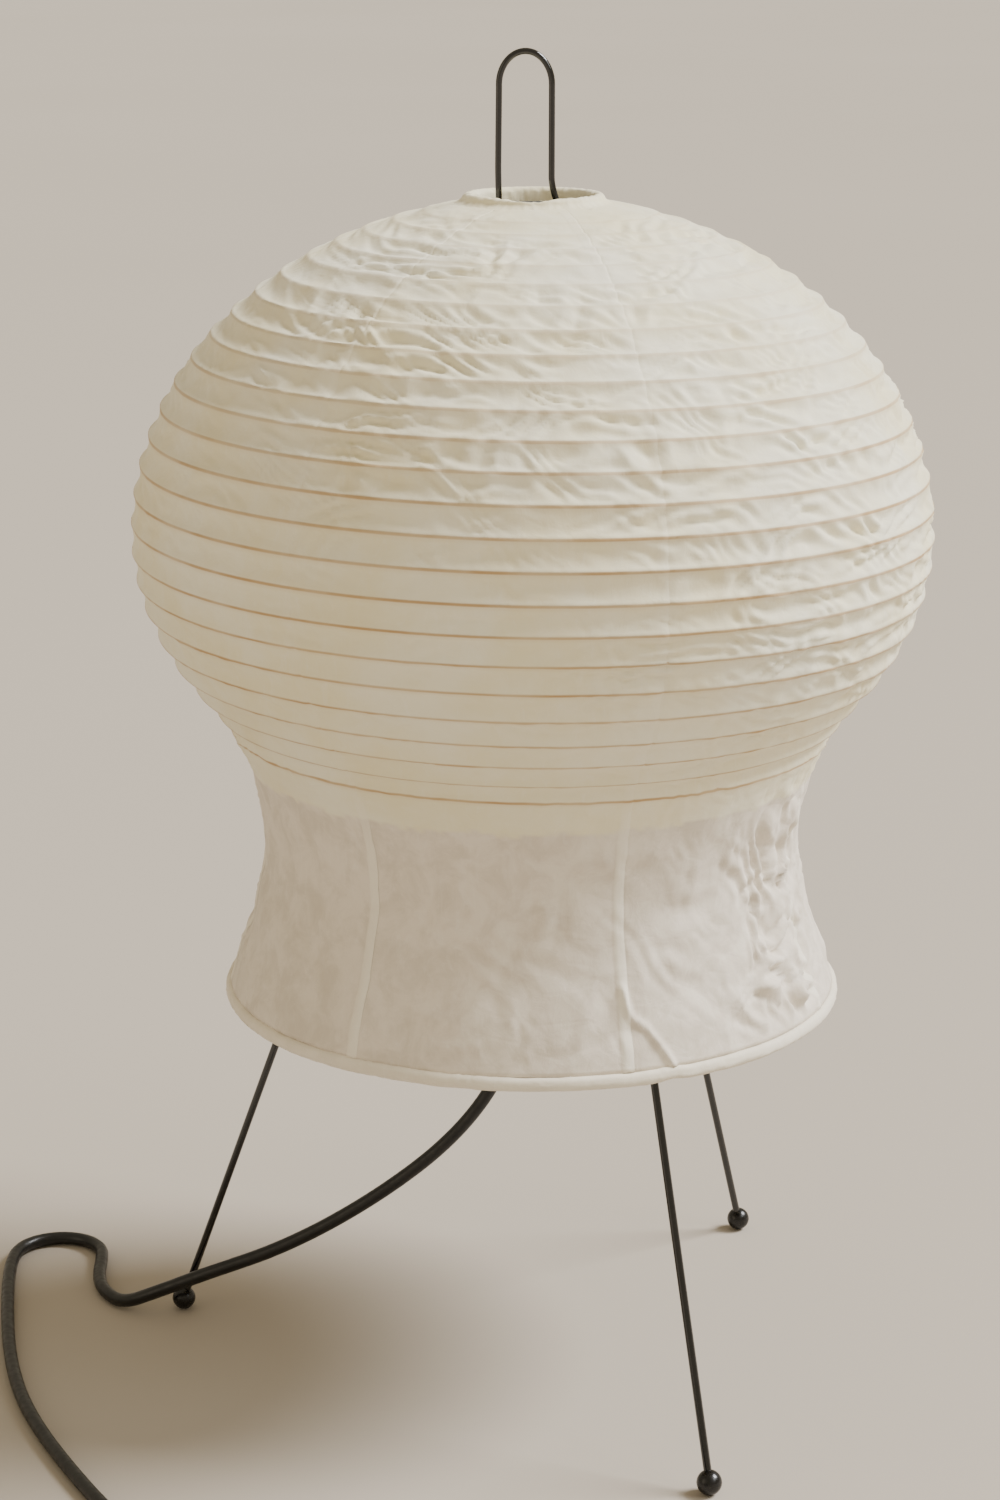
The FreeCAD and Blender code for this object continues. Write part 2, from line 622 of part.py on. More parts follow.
def cord_tube(label, points):
    """A straight stretch or bend of cord as runs joined by arcs, as large as the runs allow."""
    radii = []
    for before, corner, after in zip(points, points[1:], points[2:]):
        back, ahead = before - corner, after - corner
        half_turn = (math.pi - back.getAngle(ahead)) / 2
        radii.append(0.45 * min(back.Length, ahead.Length) / math.tan(half_turn))
    path = rounded_path(points, radii)
    tube = swept(path, size("cord_thick"))
    section = math.pi * size("cord_thick") ** 2 / 4
    print(label, "radii", [round(radius, 1) for radius in radii])
    print(label, "length", round(path.Length, 1), "volume", round(tube.Volume, 1),
          "section times length", round(section * path.Length, 1))
    plain(label, tube)


def make_cord():
    """The cord's free stretches: lamp to switch, switch to coil, and coil to plug."""
    thick = size("cord_thick")
    floor = thick / 2 + FIT
    entry = SWITCH_END + Vector(0, 0, size("switch_split"))
    route = [Vector(0, 0, size("grip_end"))] + [Vector(*point) for point in CORD_HANGING]
    route += [Vector(x, y, floor) for x, y in CORD_LYING]
    route += [entry + Vector(-23, 5.5, -2.8), entry + Vector(-11, 0, 0), entry]
    cord_tube("cord_to_switch", route)
    leaving = entry + Vector(size("switch_length"), 0, 0)
    outer_turn = size("coil_radius") + size("coil_width") / 2 - thick / 2
    low_turn = size("coil_lift") + thick / 2
    high_turn = size("coil_lift") + size("coil_height") - thick / 2
    coil_entry = COIL_CENTRE + Vector(-13.5, outer_turn - 0.2, low_turn)
    cord_tube("cord_to_coil", [leaving, leaving + Vector(12, 0, 0),
                               coil_entry + Vector(-13, -0.3, 0.4), coil_entry])
    coil_exit = COIL_CENTRE + Vector(-13.5, -outer_turn + 0.2, high_turn)
    plug_entry = PLUG_CORD_END + Vector(0, 0, size("plug_thick") / 2)
    cord_tube("cord_to_plug", [coil_exit, plug_entry + Vector(8, 0, 0), plug_entry])


def make_coil():
    """The coiled cord as one ring, and the tie around its turns."""
    low, high = "coil_lift", "coil_lift + coil_height"
    coil = turned("cord_coil", tube_outline("coil_radius - coil_width / 2",
                                            "coil_radius + coil_width / 2", low, high))
    coil.Placement.Base = COIL_CENTRE
    inner_radius = size("coil_radius") - size("coil_width") / 2
    width, thick, gap = size("tie_width"), size("tie_thick"), size("seat_gap")
    inside = math.sqrt(inner_radius**2 - (width / 2) ** 2) - gap
    outside = size("coil_radius") + size("coil_width") / 2 + gap
    height = size("coil_height") + 2 * FIT
    low = size("coil_lift") - FIT
    band = Part.makeBox(outside - inside + 2 * thick, width, height + 2 * thick,
                        Vector(inside - thick, -width / 2, low - thick))
    room = Part.makeBox(outside - inside, width, height, Vector(inside, -width / 2, low))
    plain("coil_tie", band.cut(room), Placement(COIL_CENTRE, Rotation()))


def rectangle(length, width):
    """The outline of a rectangle of formulas about the origin."""
    left, right = f"-({length}) / 2", f"({length}) / 2"
    front, back = f"-({width}) / 2", f"({width}) / 2"
    return [(left, front), (right, front), (right, back), (left, back)]


def add_pad(body, name, sketch, height, midplane=False):
    pad = body.newObject("PartDesign::Pad", name)
    pad.Profile = sketch
    pad.setExpression("Length", bound(height))
    pad.Midplane = midplane
    doc.recompute()
    return pad


def add_pocket(body, name, sketch, depth, midplane=False, upward=False):
    pocket = body.newObject("PartDesign::Pocket", name)
    pocket.Profile = sketch
    pocket.setExpression("Length", bound(depth))
    pocket.Midplane = midplane
    pocket.Reversed = upward
    doc.recompute()
    return pocket


def add_fillet(body, name, feature, chosen, radius):
    """Rounds the edges of a feature that chosen picks."""
    edges = [f"Edge{k}" for k, edge in enumerate(feature.Shape.Edges, start=1) if chosen(edge)]
    fillet = body.newObject("PartDesign::Fillet", name)
    fillet.Base = (feature, edges)
    fillet.setExpression("Radius", bound(radius))
    doc.recompute()
    return fillet


def upright(edge):
    """Whether an edge is a straight one along Z."""
    if len(edge.Vertexes) < 2 or edge.Curve.TypeId != "Part::GeomLine":
        return False
    start, end = (vertex.Point for vertex in edge.Vertexes)
    return abs(end.z - start.z) > 0.9 * start.distanceToPoint(end)


def level_at(height):
    """Picks the edges that lie at a height."""
    return lambda edge: abs(edge.BoundBox.ZMin - height) + abs(edge.BoundBox.ZMax - height) < FIT


def circle_sketch(body, name, plane, places, radius, offset=None):
    """Circles of one radius, at pairs of formulas."""
    sketch = body.newObject("Sketcher::SketchObject", name)
    sketch.AttachmentSupport = (origin_plane(body, plane), [""])
    sketch.MapMode = "FlatFace"
    if offset:
        sketch.setExpression("AttachmentOffset.Base.z", bound(offset))
    for k, (across, up) in enumerate(places):
        sketch.addGeometry(Part.Circle(Vector(5 + 9 * k, 5, 0), Vector(0, 0, 1), 1), False)
        for kind, formula in (("DistanceX", across), ("DistanceY", up)):
            index = sketch.addConstraint(Sketcher.Constraint(kind, -1, 1, k, 3, 1.0))
            sketch.setExpression(f"Constraints[{index}]", bound(formula))
        index = sketch.addConstraint(Sketcher.Constraint("Radius", k, 1.0))
        sketch.setExpression(f"Constraints[{index}]", bound(radius))
    return sketch


def housing_half(label, low, high):
    """A slab of the switch's outline, with rounded corners."""
    body = keep(doc.addObject("PartDesign::Body", label), label)
    outline = outline_sketch(body, label + "_outline", "XY_Plane",
                             rectangle("switch_length", "switch_width"), low)
    pad = add_pad(body, label + "_pad", outline, f"{high} - ({low})")
    corners = add_fillet(body, label + "_corners", pad, upright, "switch_corner")
    return body, corners


def make_switch():
    """An inline rocker switch: two housing halves, two screws and the rocker on its pivot."""
    centre = SWITCH_END + Vector(size("switch_length") / 2, 0, 0)
    window = rectangle("rocker_length + 2 * rocker_gap", "rocker_width + 2 * rocker_side_gap")
    base, corners = housing_half("switch_base", "0 * switch_split", "switch_split")
    add_fillet(base, "switch_base_rim", corners, level_at(0), "screw_thick")
    well = outline_sketch(base, "switch_base_well_outline", "XY_Plane", window, "switch_split")
    add_pocket(base, "switch_base_well", well, "switch_split - switch_wall")
    places = [("-screw_spacing / 2", "0 * screw_spacing"), ("screw_spacing / 2", "0 * screw_spacing")]
    recess = circle_sketch(base, "switch_base_recess_outline", "XY_Plane", places,
                           "screw_radius + seat_gap")
    add_pocket(base, "switch_base_recess", recess, "screw_thick + seat_gap", upward=True)
    base.Placement.Base = centre

    cover, corners = housing_half("switch_cover", "switch_split", "switch_height")
    rim = add_fillet(cover, "switch_cover_rim", corners, level_at(size("switch_height")),
                     "2 * screw_thick")
    opening = outline_sketch(cover, "switch_window_outline", "XY_Plane", window, "switch_height")
    add_pocket(cover, "switch_window", opening, "switch_height")
    pivot_place = [("0 * pivot_height", "pivot_height")]
    bearing = circle_sketch(cover, "switch_bearing_outline", "XZ_Plane", pivot_place,
                            "pivot_radius + pivot_gap")
    add_pocket(cover, "switch_bearing", bearing,
               "rocker_width + 2 * (rocker_side_gap + pivot_proud)", midplane=True)
    cover.Placement.Base = centre

    screws = [Part.makeCylinder(size("screw_radius"), size("screw_thick"),
                                Vector(side * size("screw_spacing") / 2, 0, size("seat_gap")))
              for side in (-1, 1)]
    plain("switch_screws", Part.makeCompound(screws), Placement(centre, Rotation()))

    rocker = keep(doc.addObject("PartDesign::Body", "switch_rocker"), "switch_rocker")
    end_up = "switch_height - pivot_height + rocker_proud"
    half = "rocker_length / 2"
    profile = outline_sketch(rocker, "switch_rocker_outline", "XZ_Plane", [
        (f"-{half}", end_up), (f"-{half} + rocker_gap", "-screw_thick"),
        ("-rocker_belly / 2", "-rocker_belly"), ("rocker_belly / 2", "-rocker_belly"),
        (f"{half} - rocker_gap", "-screw_thick"), (half, end_up),
        ("0 * rocker_dip", f"{end_up} - rocker_dip")])
    add_pad(rocker, "switch_rocker_pad", profile, "rocker_width", midplane=True)
    pivot = circle_sketch(rocker, "switch_pivot_outline", "XZ_Plane",
                          [("0 * pivot_radius", "0 * pivot_radius")], "pivot_radius")
    add_pad(rocker, "switch_pivot", pivot, "rocker_width + 2 * pivot_proud", midplane=True)
    rocker.Placement = Placement(centre + Vector(0, 0, size("pivot_height")),
                                 Rotation(Vector(0, 1, 0), size("rocker_tilt")))


def make_plug():
    """A flat two-pin plug with its strain relief, in a frame whose +X runs along the pins."""
    turn = Rotation(Vector(0, 0, 1), 180)
    front = PLUG_CORD_END - Vector(size("plug_relief") + size("plug_length"), 0, 0)
    place = Placement(front + Vector(0, 0, size("plug_thick") / 2), turn)
    body = keep(doc.addObject("PartDesign::Body", "plug_body"), "plug_body")
    outline = outline_sketch(body, "plug_outline", "XY_Plane", [
        ("-plug_length", "-plug_back_width / 2"), ("-plug_length / 2", "-plug_width / 2"),
        ("0 * plug_length", "-plug_width / 2"), ("0 * plug_length", "plug_width / 2"),
        ("-plug_length / 2", "plug_width / 2"), ("-plug_length", "plug_back_width / 2")])
    pad = add_pad(body, "plug_pad", outline, "plug_thick", midplane=True)
    add_fillet(body, "plug_rounding", pad, lambda edge: edge.BoundBox.XMax < -FIT, "pin_radius")
    body.Placement = place
    start = Vector(-size("plug_length"), 0, 0)
    relief = Part.makeCone(size("grip_end_radius"), size("plug_thick") / 2 - size("pin_radius"),
                           size("plug_relief"), start - Vector(size("plug_relief"), 0, 0),
                           Vector(1, 0, 0))
    plain("plug_strain_relief", relief, place)
    radius, length = size("pin_radius"), size("pin_length")
    pins = []
    for side in (-1, 1):
        root = Vector(0, side * size("pin_spacing") / 2, 0)
        shank = Part.makeCylinder(radius, length - radius, root, Vector(1, 0, 0))
        pins.append(shank.fuse(Part.makeSphere(radius, root + Vector(length - radius, 0, 0))))
    plain("plug_pins", Part.makeCompound(pins), place)


# ---------------------------------------------------------------- the whole lantern


def check_and_write():
    doc.recompute()
    for thing in doc.Objects:
        if "Invalid" in thing.State or "Error" in thing.State:
            raise RuntimeError(f"{thing.Name} failed to build: {thing.State}")
    for node in nodes:
        if node.Shape.isNull() or not node.Shape.isValid() or not node.Shape.Solids:
            raise RuntimeError(f"{node.Label} has no valid solid")
    os.makedirs("parts", exist_ok=True)
    for node in nodes:
        node.Shape.exportStep(f"parts/{node.Label}.step")
        print(node.Label, "solids", len(node.Shape.Solids), "volume", round(node.Shape.Volume, 1))


make_shade()
make_frame()
make_lampholder()
make_bulb()
make_cord()
make_switch()
make_coil()
make_plug()
check_and_write()
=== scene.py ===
"""Paper table lantern on a black wire tripod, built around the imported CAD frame, in metres.

+Z is up and -Y is the front. Azimuths are in degrees from the front, counter-clockwise seen from
above. A place on the shade's paper is given by its azimuth and its distance down from the collar.
"""

import json
import math

import bpy
import numpy as np
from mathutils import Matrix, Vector

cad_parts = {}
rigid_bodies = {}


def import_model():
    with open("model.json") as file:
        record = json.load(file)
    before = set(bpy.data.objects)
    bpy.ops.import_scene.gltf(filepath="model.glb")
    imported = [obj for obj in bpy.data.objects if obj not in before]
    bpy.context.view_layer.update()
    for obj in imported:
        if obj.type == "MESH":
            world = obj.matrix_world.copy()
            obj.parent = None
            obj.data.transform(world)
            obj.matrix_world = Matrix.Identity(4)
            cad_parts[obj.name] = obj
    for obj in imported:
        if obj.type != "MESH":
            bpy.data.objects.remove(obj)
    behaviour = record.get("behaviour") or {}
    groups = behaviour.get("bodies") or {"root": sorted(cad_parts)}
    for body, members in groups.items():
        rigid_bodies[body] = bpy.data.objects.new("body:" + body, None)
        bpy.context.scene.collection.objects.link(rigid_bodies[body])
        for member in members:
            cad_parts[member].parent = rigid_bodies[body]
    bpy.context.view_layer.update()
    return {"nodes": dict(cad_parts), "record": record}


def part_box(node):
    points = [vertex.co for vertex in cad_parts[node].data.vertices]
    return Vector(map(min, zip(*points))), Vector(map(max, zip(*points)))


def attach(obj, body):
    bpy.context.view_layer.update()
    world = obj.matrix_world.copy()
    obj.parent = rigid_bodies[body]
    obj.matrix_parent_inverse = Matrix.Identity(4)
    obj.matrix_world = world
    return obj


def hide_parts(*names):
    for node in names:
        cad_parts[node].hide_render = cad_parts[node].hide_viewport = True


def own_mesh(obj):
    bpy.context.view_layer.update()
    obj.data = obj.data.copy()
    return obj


for leftover in list(bpy.data.objects):
    bpy.data.objects.remove(leftover)
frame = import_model()

MM = 0.001

# ---------------------------------------------------------------- the camera


def make_camera():
    """The photograph's view: a little above the lantern's middle, looking 15 degrees down."""
    camera = bpy.data.cameras.new("photo_camera")
    camera.lens = 78.87
    camera.sensor_width = 36
    camera.clip_end = 60
    holder = bpy.data.objects.new("photo_camera", camera)
    bpy.context.scene.collection.objects.link(holder)
    holder.location = (0, -1.2245, 0.5722)
    pitch, yaw = math.radians(14.963), math.radians(-0.5765)
    looking = Vector((math.sin(yaw) * math.cos(pitch), math.cos(yaw) * math.cos(pitch),
                      -math.sin(pitch)))
    holder.rotation_euler = looking.to_track_quat("-Z", "Y").to_euler()
    bpy.context.scene.camera = holder


make_camera()

# ---------------------------------------------------------------- materials


class Finish:
    """A material on one Principled shader, with helpers that add procedural nodes to it."""

    def __init__(self, name, roughness, metallic=0.0, **fixed):
        self.material = bpy.data.materials.new(name)
        self.material.use_nodes = True
        self.tree = self.material.node_tree
        self.shader = self.tree.nodes["Principled BSDF"]
        self.shader.inputs["Roughness"].default_value = roughness
        self.shader.inputs["Metallic"].default_value = metallic
        for socket, value in fixed.items():
            self.shader.inputs[socket.replace("_", " ")].default_value = value
        self.places = self.add("ShaderNodeTexCoord").outputs["Object"]

    def add(self, kind, **settings):
        node = self.tree.nodes.new(kind)
        for key, value in settings.items():
            setattr(node, key, value)
        return node

    def feed(self, socket, source):
        if hasattr(source, "is_linked"):
            self.tree.links.new(source, socket)
        else:
            socket.default_value = source

    def stretched(self, scale):
        """The object's coordinates, scaled per axis."""
        mapping = self.add("ShaderNodeMapping")
        self.feed(mapping.inputs["Vector"], self.places)
        mapping.inputs["Scale"].default_value = scale
        return mapping.outputs["Vector"]

    def noise(self, scale, detail=3.0, roughness=0.5, vector=None, distortion=0.0):
        node = self.add("ShaderNodeTexNoise")
        self.feed(node.inputs["Vector"], self.places if vector is None else vector)
        node.inputs["Scale"].default_value = scale
        node.inputs["Detail"].default_value = detail
        node.inputs["Roughness"].default_value = roughness
        node.inputs["Distortion"].default_value = distortion
        return node.outputs[0]

    def cells(self, scale, feature="DISTANCE_TO_EDGE", vector=None):
        node = self.add("ShaderNodeTexVoronoi", feature=feature)
        self.feed(node.inputs["Vector"], self.places if vector is None else vector)
        node.inputs["Scale"].default_value = scale
        return node.outputs["Distance"]

    def held(self, name):
        """A number that the mesh holds at its points."""
        return self.add("ShaderNodeAttribute", attribute_name=name).outputs["Fac"]

    def ranged(self, source, low, high, to_low=0.0, to_high=1.0, smooth=True):
        node = self.add("ShaderNodeMapRange")
        if smooth:
            node.interpolation_type = "SMOOTHSTEP"
        self.feed(node.inputs["Value"], source)
        for socket, value in zip(("From Min", "From Max", "To Min", "To Max"),
                                 (low, high, to_low, to_high)):
            node.inputs[socket].default_value = value
        return node.outputs["Result"]

    def maths(self, operation, first, second=0.0):
        node = self.add("ShaderNodeMath", operation=operation)
        self.feed(node.inputs[0], first)
        self.feed(node.inputs[1], second)
        return node.outputs[0]

    def blended(self, share, first, second, kind="MIX"):
        node = self.add("ShaderNodeMix", data_type="RGBA", blend_type=kind)
        self.feed(node.inputs["Factor"], share)
        for socket, source in ((node.inputs[6], first), (node.inputs[7], second)):
            self.feed(socket, source if hasattr(source, "is_linked") else (*source, 1))
        return node.outputs[2]

    def bumped(self, height, distance, strength=1.0, under=None):
        node = self.add("ShaderNodeBump")
        node.inputs["Strength"].default_value = strength
        node.inputs["Distance"].default_value = distance
        self.feed(node.inputs["Height"], height)
        if under is not None:
            self.feed(node.inputs["Normal"], under)
        return node.outputs["Normal"]

    def colour(self, source):
        self.feed(self.shader.inputs["Base Color"],
                  source if hasattr(source, "is_linked") else (*source, 1))

    def roughness(self, source):
        self.feed(self.shader.inputs["Roughness"], source)

    def normal(self, source):
        self.feed(self.shader.inputs["Normal"], source)


def linear(red, green, blue):
    """A colour given as 0 to 255 on screen, as the shader wants it."""
    return tuple((value / 255) ** 2.2 for value in (red, green, blue))


def mottled(name, light, dark, roughness, spread=0.08, scale=60.0, grain=900.0, depth=0.05,
            **fixed):
    """A smooth hard finish with slight unevenness in colour, gloss and surface."""
    made = Finish(name, roughness, **fixed)
    cloud = made.noise(scale, 4)
    made.colour(made.blended(made.ranged(cloud, 0.35, 0.65), light, dark))
    made.roughness(made.ranged(made.noise(scale * 3, 5), 0.3, 0.7, roughness - spread,
                               roughness + spread))
    made.normal(made.bumped(made.noise(grain, 2), depth * MM, 0.6))
    return made.material


def paper_finish(name, ribbed):
    """Handmade paper: fibres, soft clouds, small creases, the rib showing through it with painted
    shade under each rib, and skirt blotches that are partly painted light shining through.
    """
    made = Finish(name, 0.86, Specular_IOR_Level=0.22, Sheen_Weight=0.1, Sheen_Roughness=0.6)
    warm, cool = linear(237, 227, 190), linear(242, 237, 214)
    skirt, skirt_dark = linear(233, 223, 207), linear(217, 206, 189)
    fibres = made.noise(260, 6, 0.7, made.stretched((1, 1, 0.22)), 1.4)
    clouds = made.noise(22, 5, 0.6)
    blotches_and_glow = made.noise(70, 6, 0.65, None, 0.6)
    globe = made.blended(made.ranged(clouds, 0.3, 0.7), warm, cool)
    # The skirt's blotches: partly the paper's uneven thickness, partly painted light shining
    # through the thin paper.
    lower = made.blended(made.ranged(blotches_and_glow, 0.38, 0.66), skirt, skirt_dark)
    flecks = made.ranged(made.noise(210, 4, 0.6, made.stretched((1, 1, 2.2)), 2.0), 0.66, 0.74)
    lower = made.blended(made.maths("MULTIPLY", flecks, 0.16), lower, linear(176, 164, 150))
    colour = made.blended(made.ranged(made.held("skirt"), 0.0, 1.0, smooth=False), globe, lower)
    colour = made.blended(made.ranged(fibres, 0.52, 0.72, 0.0, 0.2), colour, linear(250, 246, 236))
    colour = made.blended(made.maths("MULTIPLY", made.held("doubled"), 0.75), colour,
                          linear(245, 238, 220))
    if ribbed:
        place = made.maths("FRACT", made.maths("ADD", made.held("turn"), 0.5))
        below = made.maths("SUBTRACT", place, 0.5)  # turns below the nearest rib
        low_part = made.ranged(made.held("turn"), 4, 15, 0.15, 1.0)
        low_part = made.maths("MULTIPLY", low_part, made.held("ribbed"))
        # A wide warm band just under each rib: partly the bamboo's tan through the paper, partly
        # painted shade under the rib.
        rib_tint_and_shade = made.maths("MULTIPLY", made.ranged(below, -0.04, 0.02),
                          made.ranged(below, 0.06, 0.26, 1.0, 0.0))
        colour = made.blended(made.maths("MULTIPLY", made.maths("MULTIPLY", rib_tint_and_shade, low_part), 0.3),
                              colour, linear(214, 188, 146))
        # The rib's tan line, set a little below its ridge: the bamboo seen through the paper, with
        # painted shade under the rib.
        off_line = made.maths("ABSOLUTE", made.maths("SUBTRACT", below, 0.03))
        line = made.ranged(off_line, 0.025, 0.075, 1.0, 0.0)
        strength = made.ranged(made.noise(35, 3), 0.3, 0.7, 0.55, 1.0)
        line = made.maths("MULTIPLY", made.maths("MULTIPLY", line, strength), low_part)
        colour = made.blended(line, colour, linear(188, 152, 106))
    made.colour(colour)
    made.roughness(made.ranged(blotches_and_glow, 0.3, 0.7, 0.78, 0.92))
    folds = made.cells(75, vector=made.stretched((1, 1, 1.6)))
    small = made.ranged(folds, 0.0, 0.12)
    first = made.bumped(small, 0.15 * MM, 0.25)
    second = made.bumped(made.noise(150, 5, 0.6, None, 1.0), 0.5 * MM, 0.45, first)
    made.normal(made.bumped(fibres, 0.12 * MM, 0.5, second))
    return made.material


FINISHES = {
    "paper": paper_finish("washi_paper", True),
    "hem_paper": paper_finish("rolled_paper", False),
    "bamboo": mottled("split_bamboo", linear(205, 172, 122), linear(178, 140, 92), 0.55, scale=240,
                      depth=0.08),
    "galvanised_wire": mottled("galvanised_wire", linear(150, 152, 154), linear(120, 122, 126),
                               0.38, metallic=1.0, scale=180),
    "black_wire": mottled("black_enamel_wire", linear(9, 9, 9), linear(16, 15, 15), 0.2,
                          spread=0.06, scale=140, grain=500, depth=0.03, Coat_Weight=0.6,
                          Coat_Roughness=0.08),
    "black_ball": mottled("black_moulded_ball", linear(9, 9, 9), linear(17, 16, 16), 0.28,
                          scale=220, grain=1200, depth=0.03),
    "zinc_steel": mottled("zinc_steel", linear(172, 172, 168), linear(140, 142, 142), 0.34,
                          metallic=1.0, scale=120),
    "black_phenolic": mottled("black_phenolic", linear(26, 24, 23), linear(36, 33, 31), 0.3,
                              scale=90, Coat_Weight=0.2, Coat_Roughness=0.2),
    "porcelain": mottled("porcelain", linear(236, 232, 222), linear(226, 220, 208), 0.22, scale=80),
    "brass_shell": mottled("brass_shell", linear(190, 160, 96), linear(166, 134, 76), 0.3,
                           metallic=1.0, scale=160),
    "bulb_metal": mottled("bulb_cap_metal", linear(186, 186, 184), linear(160, 160, 158), 0.28,
                          metallic=1.0, scale=180),
    "bulb_glass": mottled("opal_glass", linear(244, 243, 238), linear(238, 236, 230), 0.16,
                          spread=0.03, scale=50, depth=0.01, Coat_Weight=0.5, Coat_Roughness=0.05),
    "cord": mottled("cord_sheath", linear(15, 15, 15), linear(24, 24, 23), 0.38, scale=130,
                    grain=420, depth=0.09),
    "cord_plastic": mottled("moulded_black_plastic", linear(15, 15, 15), linear(23, 23, 22), 0.42,
                            scale=150, grain=1300, depth=0.05),
    "rocker_plastic": mottled("rocker_plastic", linear(26, 25, 25), linear(34, 33, 32), 0.32,
                              spread=0.04, scale=150, grain=1500, depth=0.015),
    "pin_brass": mottled("nickel_brass_pins", linear(196, 192, 180), linear(176, 170, 156), 0.24,
                         metallic=1.0, scale=200),
    "tie": mottled("woven_tie", linear(30, 30, 31), linear(46, 45, 45), 0.8, scale=700, grain=2200,
                   depth=0.25),
}

# ---------------------------------------------------------------- making pieces


def shown(name, data, slot, body, *nodes):
    """A new piece with the slot's finish, which rides on a body and stands for CAD nodes."""
    data.materials.clear()
    data.materials.append(FINISHES[slot])
    piece = bpy.data.objects.new(name, data)
    bpy.context.scene.collection.objects.link(piece)
    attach(piece, body)
    if nodes:
        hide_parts(*nodes)
    return piece


def grid_mesh(name, points, round_first=False, round_second=False, numbers=None):
    """A smooth mesh of quads from points[row][column], closed along either direction."""
    rows, columns = points.shape[:2]
    index = np.arange(rows * columns).reshape(rows, columns)
    if round_first:
        index = np.vstack([index, index[:1]])
    if round_second:
        index = np.hstack([index, index[:, :1]])
    quads = np.stack([index[:-1, :-1], index[:-1, 1:], index[1:, 1:], index[1:, :-1]], axis=-1)
    mesh = bpy.data.meshes.new(name)
    mesh.from_pydata(points.reshape(-1, 3).tolist(), [], quads.reshape(-1, 4).tolist())
    mesh.shade_smooth()
    for key, values in (numbers or {}).items():
        held = mesh.attributes.new(key, "FLOAT", "POINT")
        held.data.foreach_set("value", np.broadcast_to(values, (rows, columns)).astype(
            np.float32).ravel())
    return mesh


def rounded(outline, radius, steps=4):
    """An outline of (radius, height) with its inner corners rounded."""
    made = [outline[0]]
    for before, corner, after in zip(outline, outline[1:], outline[2:]):
        before, corner, after = (np.array(point, float) for point in (before, corner, after))
        back, ahead = before - corner, after - corner
        reach = min(radius, 0.45 * np.linalg.norm(back), 0.45 * np.linalg.norm(ahead))
        start = corner + back / np.linalg.norm(back) * reach
        end = corner + ahead / np.linalg.norm(ahead) * reach
        for step in range(steps + 1):
            share = step / steps
            made.append(tuple((1 - share) ** 2 * start + 2 * share * (1 - share) * corner
                              + share**2 * end))
    made.append(outline[-1])
    return made


def lathe(name, outline, slot, body, *nodes, about=(0, 0, 0), around=72, shift=None):
    """A piece turned about Z from an outline in mm; shift(angle, radius, height) moves radii."""
    angles = np.linspace(0, 2 * math.pi, around, endpoint=False)
    radius = np.array([point[0] for point in outline])[:, None] * np.ones(around)
    height = np.array([point[1] for point in outline])[:, None] * np.ones(around)
    if shift:
        radius = np.maximum(radius + shift(angles[None, :], radius, height), 0)
    points = np.stack([radius * np.cos(angles), radius * np.sin(angles), height], axis=-1) * MM
    mesh = grid_mesh(name, points + np.array(about), round_second=True)
    return shown(name, mesh, slot, body, *nodes)


def smooth_step(values, low, high):
    """From 0 at the low value to 1 at the high one, level at both ends."""
    share = np.clip((values - low) / (high - low), 0, 1)
    return share * share * (3 - 2 * share)


# ---------------------------------------------------------------- the cords


def heights(node):
    """A CAD node's lowest and highest z, and half its width along X, in mm."""
    low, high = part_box(node)
    return low.z / MM, high.z / MM, (high.x - low.x) / 2 / MM


def ridged(start, end, ridges, deep):
    """Ridges along a tapered grip between two heights, as a shift for lathe()."""
    def shift(angle, radius, height):
        share = (height - start) / (end - start)
        inside = smooth_step(share, 0.03, 0.1) * (1 - smooth_step(share, 0.9, 0.97))
        wave = np.clip(np.sin(2 * math.pi * ridges * share) * 1.6, -1, 1)
        return -deep * wave * inside * (radius > CORD_BORE)
    return shift


def make_relief():
    """The plug's tapered strain relief, along X, with its ridges."""
    low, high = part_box("plug_strain_relief")
    length, wide = (high.x - low.x) / MM, (high.z - low.z) / 2 / MM
    thin, lip = 3.4, 0.3
    middle = (low + high) / 2
    outline = [(2.0, 0)] + [(thin + (wide - thin) * share**1.2, lip + (length - lip) * share)
                            for share in np.linspace(0, 1, 60)] + [(0, length)]
    piece = lathe("plug_relief_tapered", outline, "cord_plastic", "frame", "plug_strain_relief",
                  shift=ridged(0, length, 5, 0.3))
    for point in piece.data.vertices:
        x, y, z = point.co
        point.co = (high.x - z, middle.y + x, middle.z - y)


def nurbs_cord(name, points, body, *nodes):
    """A round cord on one smooth spline through the inside of its route's corners, in mm."""
    curve = bpy.data.curves.new(name, "CURVE")
    curve.dimensions = "3D"
    curve.bevel_depth = CORD_THICK / 2
    curve.bevel_resolution = 5
    curve.use_fill_caps = True
    spline = curve.splines.new("NURBS")
    spline.points.add(len(points) - 1)
    for place, point in zip(spline.points, points):
        place.co = (point[0] * MM, point[1] * MM, point[2] * MM, 1)
    spline.order_u = 3
    spline.use_endpoint_u = True
    spline.resolution_u = 10
    return shown(name, curve, "cord", body, *nodes)


